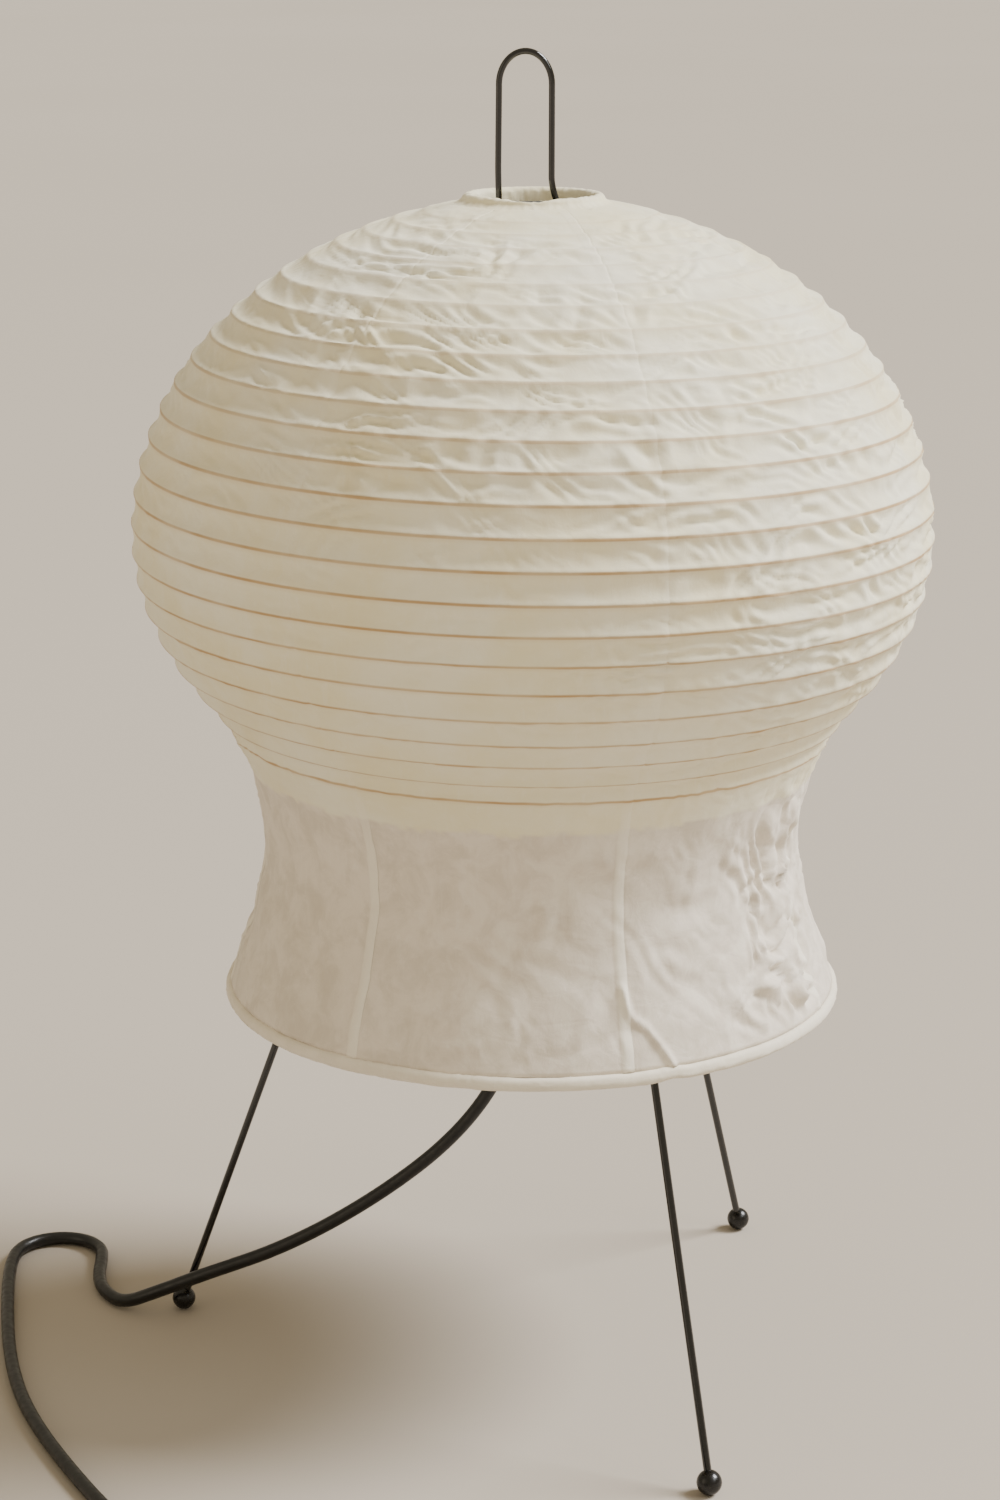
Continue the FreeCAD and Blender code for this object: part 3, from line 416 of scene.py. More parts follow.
CORD_THICK = 5.4 * MM
CORD_BORE = 2.9  # mm, the radius from which a grip's ridges are cut
CORD_FLOOR = 2.75
CORD_HANGING = [(0, 0, 212), (0, 0, 180), (-2.5, 0.3, 146), (-11, 1.2, 112), (-31, 3.2, 83),
                (-63, 6.6, 56), (-99, 10.3, 33.5), (-134, 14, 19.2), (-153, 16.4, 10.6)]
CORD_LYING = [(-168, 22), (-178, 35.5), (-181.5, 51), (-182, 65.5), (-183.5, 78), (-191, 86.8),
              (-202, 89.8), (-212.8, 85.9), (-219.4, 76.5), (-220, 62), (-218.3, 43), (-214.6, 17),
              (-209.8, -12), (-203.5, -41), (-195, -69), (-184, -95), (-172, -119), (-160, -141),
              (-150.5, -157), (-140.5, -170)]
COIL_CENTRE = (8, -221)
COIL_RADII = (35.85, 30.25, 24.65)
COIL_HEIGHTS = (3.6, 9.4)
COIL_ORDER = (0, 1, 2, 2, 1, 0, 0)  # which radius each turn has
COIL_TURNS, COIL_POINTS = 5.5, 14  # turns, and control points in each


def coil_place(turn):
    """Radius and height of the coil's cord: three turns inwards, a climb, and back outwards."""
    whole = min(int(turn), 5)
    crossing = smooth_step(turn - whole, 0.78, 1.0)
    now, then = COIL_RADII[COIL_ORDER[whole]], COIL_RADII[COIL_ORDER[whole + 1]]
    radius = now * (1 - crossing) + then * crossing
    climb = smooth_step(turn, 2.5, 2.78)
    return float(radius), float(COIL_HEIGHTS[0] * (1 - climb) + COIL_HEIGHTS[1] * climb)


def coil_points():
    """Control points of the coil, clockwise from its back, as far out as the spline cuts in."""
    points = []
    for step in range(1, int(COIL_TURNS * COIL_POINTS)):
        turn = step / COIL_POINTS
        radius, height = coil_place(turn)
        radius /= math.cos(math.pi / COIL_POINTS)
        angle = math.pi / 2 - 2 * math.pi * turn
        points.append((COIL_CENTRE[0] + radius * math.cos(angle),
                       COIL_CENTRE[1] + radius * math.sin(angle), height))
    return points


to_switch = CORD_HANGING + [(x, y, CORD_FLOOR) for x, y in CORD_LYING]
to_switch += [(-129, -180.5, 3.8), (-117, -186, 6.6), (-104, -186, 6.6)]
to_plug = [(-46, -186, 6.6), (-34, -186, 6.6), (-18.5, -185.65, 4.0), (-5.5, -185.35, 3.6)]
to_plug += coil_points()
to_plug += [(1, -257.1, 9.4), (-5.5, -257, 9.0), (-14, -257.2, 7.0), (-26, -257.2, 6.85)]


def make_plug():
    """The plug's moulded body: a soft-edged wedge with finger grips at its sides."""
    low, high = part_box("plug_body")
    length, wide, thick = ((high[k] - low[k]) / MM for k in range(3))
    middle = (low + high) / 2
    rounding, squareness = 1.6, 0.45
    grip_count, grip_deep = 16, 0.45
    share = np.concatenate([[0, 0, 0.004, 0.014, 0.03], np.linspace(0.05, 0.95, 90),
                            [0.97, 0.986, 0.996, 1, 1]])[:, None]
    ends = np.sqrt(1 - (1 - np.clip(np.minimum(share / 0.05, (1 - share) / 0.05), 0, 1)) ** 2)
    half = np.interp(share, (0, 0.1, 0.5, 0.64, 1), (6.6, 7.6, wide / 2 - 1.2, wide / 2, wide / 2))
    grips = smooth_step(share, 0.2, 0.26) * (1 - smooth_step(share, 0.5, 0.56))
    grips = grip_deep * grips * (1 + np.sin(2 * math.pi * share * grip_count))
    half = half - rounding + rounding * ends - grips
    flat = thick / 2 - rounding + rounding * ends - 0.9 * (1 - smooth_step(share, 0, 0.3))
    closed = np.ones(share.shape)
    closed[[0, -1]] = 0
    angle = np.linspace(0, 2 * math.pi, 64, endpoint=False)[None, :]
    across = np.sign(np.cos(angle)) * np.abs(np.cos(angle)) ** squareness
    up = np.sign(np.sin(angle)) * np.abs(np.sin(angle)) ** squareness
    points = np.stack([high.x / MM - share * length + 0 * angle,
                       middle.y / MM + half * closed * across,
                       middle.z / MM + flat * closed * up], axis=-1) * MM
    shown("plug_body_moulded", grid_mesh("plug_body_moulded", points, round_second=True),
          "cord_plastic", "frame", "plug_body")


upper_cord = nurbs_cord("lead_lamp_to_switch", to_switch, "frame", "cord_to_switch")
lower_cord = nurbs_cord("lead_switch_to_plug", to_plug, "frame", "cord_to_coil", "cord_coil",
                        "cord_to_plug")
make_relief()
make_plug()

# ---------------------------------------------------------------- the paper's line

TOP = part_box("paper_collar")[1].z / MM
HEM_RADIUS, HEM_HEIGHT, HEM_THICK = 117.0, 152.0, 5.3
NECK_DROP, WIDEST_RADIUS, WIDEST_DROP = 3.2, 151.4, 126.0
BELLY_FALL, BELLY_END_DROP = 110.0, 186.0
WAIST_RADIUS, WAIST_DROP, SKIRT_END_DROP = 103.5, 243.0, 303.05
SKIRT_END_RADIUS, SKIRT_FLARE = 117.6, 0.28
NECK_RADIUS = 26.45
GORES, GORE_AZIMUTH = 7, 16.7
GORE_WIDTH = 360 / GORES  # degrees
RIB_START, RIB_PITCH, RIB_TURNS, RIB_AZIMUTH = 9.0, 11.4, 24, 98.0
LAST_RIB = RIB_START + RIB_PITCH * (RIB_TURNS - 1)
GLOBE_PAPER_END = 292  # how far down the globe's warmer paper reaches over the skirt
LEG_AZIMUTHS = (25.9, 140.3, 260.3)


def eased(share, start, end, start_slope, end_slope, length):
    """A curve between two values over a length, with a given slope at each end."""
    rest = 1 - share
    return (start * (1 + 2 * share) * rest**2 + end * (3 - 2 * share) * share**2
            + length * (start_slope * share * rest**2 - end_slope * rest * share**2))


def paper_line():
    """Distance down the paper, radius and height of its outer face, in mm."""
    first = math.asin(NECK_RADIUS / WIDEST_RADIUS)
    rise = (WIDEST_DROP - NECK_DROP) / math.cos(first)
    angle = np.linspace(first, math.pi / 2, 120, endpoint=False)
    radius, drop = [WIDEST_RADIUS * np.sin(angle)], [WIDEST_DROP - rise * np.cos(angle)]
    belly_end = math.asin((BELLY_END_DROP - WIDEST_DROP) / BELLY_FALL)
    angle = np.linspace(0, belly_end, 60, endpoint=False)
    radius.append(WIDEST_RADIUS * np.cos(angle))
    drop.append(WIDEST_DROP + BELLY_FALL * np.sin(angle))
    share = np.linspace(0, 1, 60)
    fall = WAIST_DROP - BELLY_END_DROP
    slope = -WIDEST_RADIUS / BELLY_FALL * math.tan(belly_end)
    radius.append(eased(share, WIDEST_RADIUS * math.cos(belly_end), WAIST_RADIUS, slope, 0, fall))
    drop.append(BELLY_END_DROP + fall * share)
    fall = SKIRT_END_DROP - WAIST_DROP
    share = share[1:]
    radius.append(eased(share, WAIST_RADIUS, SKIRT_END_RADIUS, 0, SKIRT_FLARE, fall))
    drop.append(WAIST_DROP + fall * share)
    radius, drop = np.concatenate(radius), np.concatenate(drop)
    along = np.concatenate([[0], np.cumsum(np.hypot(np.diff(radius), np.diff(drop)))])
    return along, radius, TOP - drop


LINE, LINE_RADIUS, LINE_HEIGHT = paper_line()
PAPER_LENGTH = float(LINE[-1])


def on_paper(azimuth, along, out):
    """Points at azimuths (degrees) and distances down the paper (mm), moved out by some mm."""
    radius = np.interp(along, LINE, LINE_RADIUS)
    height = np.interp(along, LINE, LINE_HEIGHT)
    step = 1.0  # mm along the paper, for its slope
    over = np.interp(along + step, LINE, LINE_RADIUS) - np.interp(along - step, LINE, LINE_RADIUS)
    down = np.interp(along + step, LINE, LINE_HEIGHT) - np.interp(along - step, LINE, LINE_HEIGHT)
    size = np.hypot(over, down)
    radius = radius - out * down / size
    height = height + out * over / size
    angle = np.radians(azimuth)
    return np.stack([radius * np.sin(angle), -radius * np.cos(angle), height], axis=-1) * MM


def rib_wander(turn):
    """How far the hand-wound rib strays from even turns, in mm."""
    return np.interp(turn, (0, 4, 7, 12, 16, 18.5, 20.5, 22.5, 23.7),
                     (0, 0, 1.1, 0, -0.6, -2.0, -0.8, 1.1, -2.6))


def rib_along(turn):
    """How far down the paper the rib lies after some turns."""
    return RIB_START + RIB_PITCH * turn + rib_wander(turn)


# ---------------------------------------------------------------- creases


def field(first, second, scale, seed):
    """Smooth noise from -1 to 1 over two arrays of mm, on a lattice of that many mm."""
    x, y = first / scale, second / scale
    x0, y0 = np.floor(x).astype(np.int64), np.floor(y).astype(np.int64)
    fx, fy = x - x0, y - y0

    def lattice(i, j):
        mixed = (i * 374761393 + j * 668265263 + seed * 974634777) & 0x7FFFFFFF
        mixed = (mixed ^ (mixed >> 13)) * 1274126177 & 0x7FFFFFFF
        angle = (mixed ^ (mixed >> 16)) % 4096 / 4096 * 2 * math.pi
        return np.cos(angle), np.sin(angle)

    total = 0
    sx, sy = fx * fx * fx * (fx * (6 * fx - 15) + 10), fy * fy * fy * (fy * (6 * fy - 15) + 10)
    for i, wx in ((0, 1 - sx), (1, sx)):
        for j, wy in ((0, 1 - sy), (1, sy)):
            gx, gy = lattice(x0 + i, y0 + j)
            total = total + wx * wy * (gx * (fx - i) + gy * (fy - j))
    return total * 1.5


def creases(first, second, scale, seed, lean=0.0, stretch=1.0):
    """Paper folds: soft facets between sharp lines, from 0 on a line to about 1."""
    cos, sin = math.cos(math.radians(lean)), math.sin(math.radians(lean))
    a, b = (first * cos + second * sin) / stretch, -first * sin + second * cos
    bend = 0.35 * scale * field(a, b, scale * 1.7, seed + 11)
    return np.abs(field(a + bend, b - bend, scale, seed)) * 1.6


def folded(first, second, scale, seed, lean, length, shift=0.0):
    """Long straight folds with flat facets between them, in patches, from -0.5 to 0.5."""
    cos, sin = math.cos(math.radians(lean)), math.sin(math.radians(lean))
    a, b = first * cos + second * sin, -first * sin + second * cos
    phase = b / scale + 1.9 * field(a, b * 1.5, length, seed) + shift
    phase = phase + 0.55 * field(a, b, length * 0.4, seed + 9)
    line = 2 * np.abs(phase - np.round(phase))
    where = np.clip(0.45 + 1.3 * field(a * 0.8, b * 1.7, length * 0.7, seed + 5), 0, 1)
    return (line - 0.5) * where


def globe_creases(azimuth, along, across, band):
    """Slanting folds between the ribs, most of them over the upper front and down its right."""
    upper = smooth_step(along, 14, 45) * (1 - smooth_step(along, 130, 190))
    upper = upper * smooth_step(np.cos(np.radians(azimuth - 18)), 0.1, 0.75)
    right = smooth_step(along, 100, 140) * (1 - smooth_step(along, 215, 285))
    right = right * smooth_step(np.cos(np.radians(azimuth - 52)), 0.55, 0.92)
    much = 0.5 + 0.95 * np.maximum(upper, right)
    shift = 0.6 * np.sin(band * 2.4)
    folds = folded(across, along, 9.5, 21, 15, 52, shift)
    folds += folded(across, along, 8.5, 33, -20, 46, shift)
    folds += 0.5 * folded(across, along, 5, 47, 33, 34, -shift) + 0.25 * field(across, along, 9, 49)
    return 1.6 * folds * much


CRUMPLED_AT, CRUMPLED_WIDE = 62, 15  # degrees


def skirt_creases(azimuth, along, across):
    """Wide soft facets, crumpled hard at the right of the front."""
    soft = 1.5 * (creases(across, along, 34, 61, 20, 1.2) - 0.35)
    soft += (1.3 * folded(across, along, 21, 71, -38, 60)
             + 1.1 * folded(across, along, 17, 73, 52, 50))
    fine = 0.5 * folded(across, along, 7, 83, 15, 24)
    off = ((azimuth - CRUMPLED_AT + 4 * np.sin(along / 11) + 180) % 360 - 180) / CRUMPLED_WIDE
    low = 0.4 + 0.6 * smooth_step(along, 290, 330)
    crumple = np.exp(-off**2) * low * (
        folded(across, along, 22, 91, 55, 44) + 0.8 * folded(across, along, 16, 95, -33, 36)
        + 0.45 * folded(across, along, 9, 97, 12, 22) + 0.4 * field(across, along, 16, 99))
    return 0.75 * soft + fine + 7.0 * crumple


def crease_line(azimuth, along, points, height, width):
    """A fold along straight runs between points of azimuth and distance down the paper."""
    made = np.zeros(np.broadcast(azimuth, along).shape)
    reach = 105 * math.pi / 180  # mm of paper in each degree, by the skirt
    for (az_a, s_a), (az_b, s_b) in zip(points, points[1:]):
        ax, ay, bx, by = az_a * reach, s_a, az_b * reach, s_b
        length = math.hypot(bx - ax, by - ay)
        ux, uy = (bx - ax) / length, (by - ay) / length
        px, py = azimuth * reach - ax, along - ay
        ahead = np.clip(px * ux + py * uy, 0, length)
        gap = np.hypot(px - ahead * ux, py - ahead * uy)
        made = np.maximum(made, height * np.maximum(1 - gap / width, 0))
    return made


# ---------------------------------------------------------------- the shade

BAND_ROWS, TOP_ROWS, SKIRT_ROWS = 10, 9, 66  # of each band, above the first rib, below the last
GORE_COLUMNS = 116
SEAM_WIDTH = 3.8
PAPER_DEEP = 0.3
MOST_CREASED = 22  # azimuth
GORES_TO_BACK = 4
BACK_SEAM = GORE_AZIMUTH + GORE_WIDTH * GORES_TO_BACK  # where the creases' pattern meets itself
FOLD_BY_LEG = [(17.5, 352), (18.5, 362), (21.5, 367), (24.5, 376), (26, 382)]


def make_gore(number):
    """One strip of paper from the collar to the hem, its last edge pasted over the next one."""
    start = GORE_AZIMUTH + GORE_WIDTH * number
    lap = 360 * (number >= GORES_TO_BACK)
    past = np.linspace(0, 1, GORE_COLUMNS)[None, :]
    turn_start = ((start - RIB_AZIMUTH) % 360) / 360
    whole = np.arange(0, (RIB_TURNS - 1) * BAND_ROWS + 1)[:, None] / BAND_ROWS
    lead_in = np.linspace(0, 1, TOP_ROWS, endpoint=False)[:, None]
    lead_out = np.linspace(0, 1, SKIRT_ROWS + 1)[1:, None]

    def rows(swing):
        """How far down the paper each row is, where the ribs have wound on by some turns."""
        ribbed_along = rib_along(whole + turn_start + swing)
        first, last = ribbed_along[0], ribbed_along[-1]
        return np.vstack([first * lead_in, ribbed_along, last + (PAPER_LENGTH - last) * lead_out])

    overlap = np.degrees(SEAM_WIDTH / np.interp(rows(GORE_WIDTH * past / 360), LINE, LINE_RADIUS))
    swing = (GORE_WIDTH + overlap.mean() * 0.8) * past / 360
    along = rows(swing)
    ribbed_rows = slice(TOP_ROWS, TOP_ROWS + len(whole))
    first, last = along[TOP_ROWS], along[ribbed_rows][-1]
    turn = np.vstack([(first * lead_in - first) / RIB_PITCH,
                      np.broadcast_to(whole, along[ribbed_rows].shape),
                      RIB_TURNS - 1 + (PAPER_LENGTH - last) * lead_out / RIB_PITCH])
    azimuth = start + (GORE_WIDTH + overlap) * past
    around = azimuth - lap
    across = np.radians(around - MOST_CREASED) * np.interp(along, LINE, LINE_RADIUS)
    quiet = 1 - np.exp(-((((azimuth - BACK_SEAM) + 180) % 360 - 180) / 3) ** 2)
    passed = turn + turn_start + swing  # turns wound from the rib's first end
    ribbed = (smooth_step(passed, -0.02, 0.02)
              * (1 - smooth_step(passed, RIB_TURNS - 0.02, RIB_TURNS + 0.02)))
    ribbed = ribbed * np.where((turn > -0.4) & (turn < RIB_TURNS - 0.6), 1, 0)
    band = turn - np.floor(turn)
    between = (turn > 0) & (turn < RIB_TURNS - 1)
    depth = 0.8 + 0.9 * smooth_step(along, 30, 130)
    sag = np.where(between, 4 * band * (1 - band), 0) * depth
    sag = sag * (1 + 0.3 * quiet * field(across, along, 55, 3))
    skirt = smooth_step(along, LAST_RIB + 6, 305)
    held = np.minimum(smooth_step(along, 0, 14),
                      1 - smooth_step(along, PAPER_LENGTH - 10, PAPER_LENGTH))
    near_rib = np.where(between, np.minimum(4 * band * (1 - band), 1) ** 0.65, 1)
    winding = np.floor(turn) + round(turn_start - (start - lap - RIB_AZIMUTH) / 360)
    folds = globe_creases(around, along, across, winding)
    out = -sag + folds * (1 - skirt) * near_rib * held * quiet
    out = out + skirt_creases(azimuth, along, across) * skirt * held * quiet
    out = out - 0.7 * smooth_step(along, 300, 325) * (1 - smooth_step(along, 350, 378))
    out = out + crease_line((azimuth + 180) % 360 - 180, along, FOLD_BY_LEG, 1.7, 1.9)
    pasted = smooth_step(azimuth - start, GORE_WIDTH - 0.3, GORE_WIDTH)
    under = 1 - smooth_step(azimuth - start, 0.93 * overlap, overlap)
    doubled = np.maximum(pasted, under)
    out = out + (0.08 + 0.3 * skirt) * pasted - 0.16 - 0.2 * under
    out = out - 0.35 * smooth_step(past, 0.985, 1)
    edge = (GLOBE_PAPER_END + 1.6 * field(across, along, 14, 7)
            + 0.8 * field(across, along, 4, 8))
    globe_paper = 1 - smooth_step(along, edge - 0.6, edge + 0.6)
    numbers = {"turn": turn, "ribbed": ribbed, "skirt": 1 - globe_paper,
               "doubled": doubled * (0.2 + 0.8 * skirt)}
    numbers = {key: np.vstack([values, values[::-1]]) for key, values in numbers.items()}
    outside, inside = on_paper(azimuth, along, out), on_paper(azimuth, along, out - PAPER_DEEP)
    mesh = grid_mesh(f"paper_gore_{number + 1}_sheet", np.concatenate([outside, inside[::-1]]),
                     round_first=True, numbers=numbers)
    piece = shown(mesh.name, mesh, "paper", "frame", f"paper_gore_{number + 1}")
    fold_up(piece)


def fold_up(piece):
    """Gives the paper or rib piece a mesh of its own."""
    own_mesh(piece)


def make_rib():
    """The split bamboo strip, wound inside the paper from the collar to the waist."""
    per_turn = 150
    turn = np.linspace(0, RIB_TURNS, RIB_TURNS * per_turn + 1)
    azimuth = RIB_AZIMUTH + 360 * turn
    along = rib_along(turn)
    corners = []
    wide, deep = 0.62, 0.5
    uneven = 1 + 0.12 * field(turn * 40, turn * 0, 3, 9)
    for side, low in ((-1, 0), (-0.6, 1), (0.6, 1), (1, 0), (0.8, -1), (-0.8, -1)):
        corners.append(on_paper(azimuth, along + side * wide * uneven, -0.75 - deep + low * deep))
    mesh = grid_mesh("bamboo_rib_strip", np.stack(corners, axis=1), round_second=True)
    fold_up(shown(mesh.name, mesh, "bamboo", "frame", "bamboo_rib"))


def make_collar():
    """Paper drawn up over the top ring, pleated where its width is taken in, and folded inside."""
    around = 360
    azimuth = np.linspace(0, 360, around, endpoint=False)[None, :]
    ring_radius, ring_height, roll = 24.35, TOP - 2.1, 2.0
    outline = [(30.5, TOP - 4.15), (28.6, TOP - 3.5), (27.2, TOP - 2.75)]
    for step in range(13):
        angle = math.radians(5 + 170 * step / 12)
        outline.append((ring_radius + roll * math.cos(angle), ring_height + roll * math.sin(angle)))
    outline += [(22.2, TOP - 4), (22.3, TOP - 6), (22.5, TOP - 8.2)]
    rows = np.array(outline)
    place = np.linspace(0, 1, len(rows))[:, None]
    across = np.radians(azimuth) * 26
    pleat = 0.5 * np.abs(field(across, place * 9, 3.4, 14)) + 0.5 * field(across, place * 14, 7, 15)
    drape = 0.5 * field(across, place * 0, 12, 16)
    radius = rows[:, :1] + (pleat - 0.15) * (0.3 + np.abs(place - 0.5))
    height = (rows[:, 1:] + drape * smooth_step(np.abs(place - 0.45), 0.3, 0.5)
              - 0.5 * np.abs(field(across, place * 9, 4, 17)))
    flap = np.exp(-(((azimuth + 180) % 360 - 180 + 4) / 17) ** 2)
    flap = flap * smooth_step(place, 0.25, 0.5) * (1 - smooth_step(place, 0.5, 0.75))
    height = height - 1.5 * flap
    angle = np.radians(azimuth)
    points = np.stack([radius * np.sin(angle), -radius * np.cos(angle), height], axis=-1) * MM
    mesh = grid_mesh("paper_collar_fold", points, round_second=True)
    shown(mesh.name, mesh, "hem_paper", "frame", "paper_collar")


def make_hem():
    """Paper rolled round the bottom ring, its edge lapped on the outside, dimpled by the legs."""
    around, ring = 540, 26
    azimuth = np.linspace(0, 360, around, endpoint=False)[None, :]
    turn = np.linspace(0, 360, ring, endpoint=False)[:, None]
    across = np.radians(azimuth) * HEM_RADIUS
    lapped = smooth_step(turn, 20, 44) * (1 - smooth_step(turn, 44, 320))
    roll = HEM_THICK / 2 - 0.12 + 0.28 * lapped
    roll = roll + 0.2 * field(across, turn / 9, 13, 24)
    roll = roll + 0.16 * np.abs(field(across, turn / 9, 5, 25))
    roll = roll + 0.3 * folded(across, turn / 14, 7, 27, 64, 30)
    wave = 0.8 * field(across, turn * 0, 60, 26)
    dimple = 0
    for leg in LEG_AZIMUTHS:
        off = (azimuth - leg + 180) % 360 - 180
        dimple = dimple + np.exp(-(off / 1.7) ** 2)
    radius = HEM_RADIUS + roll * np.cos(np.radians(turn)) - 0.25 * dimple
    height = HEM_HEIGHT + roll * np.sin(np.radians(turn)) + 0.35 * wave + 0.5 * dimple
    angle = np.radians(azimuth)
    points = np.stack([radius * np.sin(angle), -radius * np.cos(angle), height], axis=-1) * MM
    mesh = grid_mesh("paper_hem_roll", points, round_first=True, round_second=True,
                     numbers={"skirt": 0.75, "doubled": 0.5})
    shown(mesh.name, mesh, "hem_paper", "shade_hem", "paper_hem")


for gore in range(GORES):
    make_gore(gore)
make_rib()
make_collar()
make_hem()

# ---------------------------------------------------------------- wires and feet


def tube_mesh(name, path, radius, around=18):
    """A round wire along a path in mm, with closed ends."""
    path = np.array(path, float)
    ahead = np.gradient(path, axis=0)
    ahead /= np.linalg.norm(ahead, axis=1)[:, None]
    side = np.cross(ahead, (0, 1, 0))
    side /= np.linalg.norm(side, axis=1)[:, None]
    up = np.cross(side, ahead)
    angle = np.linspace(0, 2 * math.pi, around, endpoint=False)
    ring = radius * (side[:, None] * np.cos(angle)[:, None] + up[:, None] * np.sin(angle)[:, None])
    ends = np.concatenate([[0.0], np.ones(len(path)), [0.0]])[:, None, None]
    middle = np.concatenate([path[:1], path, path[-1:]])[:, None]
    ring = np.concatenate([ring[:1], ring, ring[-1:]])
    return grid_mesh(name, (middle + ring * ends) * MM, round_second=True)


def make_handle():
    """One wire: up from the hub, in under the top ring, and round the tall narrow loop."""
    low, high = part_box("handle_wire")
    wire = 1.2
    reach, top, foot = high.x / MM - wire, high.z / MM - wire, low.z / MM
    shoulder, left, right = TOP - 5.7, -12.7, 6.7
    middle, half, rise = (left + right) / 2, (right - left) / 2, 12.0
    angle = np.linspace(0, math.pi, 28)
    arch = list(zip(middle - half * np.cos(angle), top - rise + rise * np.sin(angle)))
    rising = rounded([(-reach, foot), (-reach, shoulder), (left, shoulder),
                      (left - 0.3, shoulder + 14), (left, top - rise - 1)], 3.2, 8)
    falling = rounded([(right, top - rise - 1), (right, shoulder + 9),
                       (right + 1.5, shoulder + 3.4), (right + 3.4, shoulder),
                       (reach, shoulder), (reach, foot)], 3.2, 8)
    path = [(x, 0, z) for x, z in rising + arch + falling]
    shown("handle_wire_bent", tube_mesh("handle_wire_bent", path, wire), "black_wire", "frame",
          "handle_wire")


def make_foot(side):
    """A moulded ball on the leg's end, with its flat and mould line."""
    low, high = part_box(f"{side}_foot")
    radius, centre = (high.x - low.x) / 2 / MM, (high.z - (high.x - low.x) / 2) / MM
    lowest = math.asin(-min(centre / radius, 1))
    angle = np.linspace(lowest, math.pi / 2, 40)
    outline = [(0, 0)] + [(radius * math.cos(a), centre + radius * math.sin(a)) for a in angle]
    line = np.array([0.05 * math.exp(-((z - centre) / 0.25) ** 2) for _, z in outline])[:, None]
    about = ((low.x + high.x) / 2, (low.y + high.y) / 2, 0)
    lathe(f"{side}_foot_ball", outline, "black_ball", "frame", f"{side}_foot", about=about,
          shift=lambda angle, radius, height: line - 0.05)


make_handle()
for side in ("front", "back", "left"):
    make_foot(side)

# ---------------------------------------------------------------- lampholder and bulb


NIPPLE_HOLE = 5.2  # radius


def make_lampholder():
    """The cap and its fluted sleeve, with rounded rims, round the porcelain insulator."""
    low, high, wide = heights("lampholder_cap")
    wall, flute_count, flute_deep = 1.6, 36, 0.45
    outline = rounded([(NIPPLE_HOLE, low), (wide - 1.2, low), (wide - 0.1, low + 2.5),
                       (wide - 0.1, high - 1.4), (wide, high - 1.2), (wide, high - 0.1),
                       (wide - wall, high - 0.1), (wide - wall, low + 3.0),
                       (NIPPLE_HOLE, low + 3.0), (NIPPLE_HOLE, low)], 1.0)
    lathe("holder_cap_moulding", outline, "black_phenolic", "frame", "lampholder_cap", around=96)
    low, high, wide = heights("lampholder_sleeve")
    inner = heights("screw_shell")[2] + 0.5
    side = [(wide, z) for z in np.linspace(low + 1.0, high - 3.2, 14)]
    outline = ([(wide - wall, low + 0.1), (wide - 0.4, low + 0.1)] + side
               + rounded([(wide, high - 3.0), (wide - 0.2, high - 0.2), (wide - 2.0, high),
                          (inner, high), (inner, high - wall), (wide - wall, high - wall)], 0.9)
               + [(wide - wall, low + 0.1)])

    def flutes(angle, radius, height):
        between = smooth_step(height, low + 2, low + 5)
        between = between * (1 - smooth_step(height, high - 8, high - 4))
        outer = radius > wide - 0.5
        return -flute_deep * np.maximum(np.cos(flute_count * angle), 0) * between * outer

    lathe("holder_sleeve_moulding", outline, "black_phenolic", "frame", "lampholder_sleeve",
          around=360, shift=flutes)


def screw_thread(deep, pitch, low, high):
    """A rolled round thread between two heights, as a shift for lathe()."""
    def shift(angle, radius, height):
        inside = smooth_step(height, low, low + 1.5) * (1 - smooth_step(height, high - 1.5, high))
        wave = 0.5 + 0.5 * np.cos(2 * math.pi * height / pitch - angle)
        return -deep * wave * inside * (radius > 8)
    return shift


def make_shell():
    """The brass sleeve round the bulb's cap, plain inside and out."""
    low, high, wide = heights("screw_shell")
    wall = 0.4
    rise = np.linspace(low, high, 84)
    outline = [(wide, z) for z in rise] + [(wide - wall, z) for z in rise[::-1]]
    lathe("shell_threaded", outline + outline[:1], "brass_shell", "frame", "screw_shell")


def make_bulb():
    """A screw cap with its rolled thread and solder rim, and the round opal glass."""
    low, high, wide = heights("bulb_cap")
    outline = [(0, low), (6.5, low), (8.5, low + 0.6), (wide - 1.2, low + 2.4)]
    outline += [(wide, z) for z in np.linspace(low + 3.2, high - 1.4, 90)]
    outline += [(wide, high - 0.4), (wide - 0.3, high), (0, high)]
    lathe("bulb_cap_threaded", outline, "bulb_metal", "bulb", "bulb_cap",
          shift=screw_thread(0.75, 3.63, low + 3.6, high - 3.4))
    low, high, wide = heights("bulb_contact")
    outline = rounded([(0, low), (2.6, low), (wide, low + 1.1), (wide, high), (0, high)], 0.8)
    lathe("bulb_contact_solder", outline, "bulb_metal", "bulb", "bulb_contact")
    low, high, wide = heights("bulb_glass")
    centre, neck = high - wide, heights("bulb_cap")[2] - 0.4
    meets = math.radians(-35)
    share = np.linspace(0, 1, 16)
    radius = eased(share, neck, wide * math.cos(meets), 0.15, -math.tan(meets), 12.0)
    height = low + (centre + wide * math.sin(meets) - low) * share
    angle = np.linspace(meets, math.pi / 2, 52)[1:]
    outline = [(0, low)] + list(zip(radius, height))
    outline += [(wide * math.cos(a), centre + wide * math.sin(a)) for a in angle]
    lathe("bulb_opal_glass", outline, "bulb_glass", "bulb", "bulb_glass", around=96)


make_lampholder()
make_shell()
make_bulb()

# ---------------------------------------------------------------- cord grip and tie


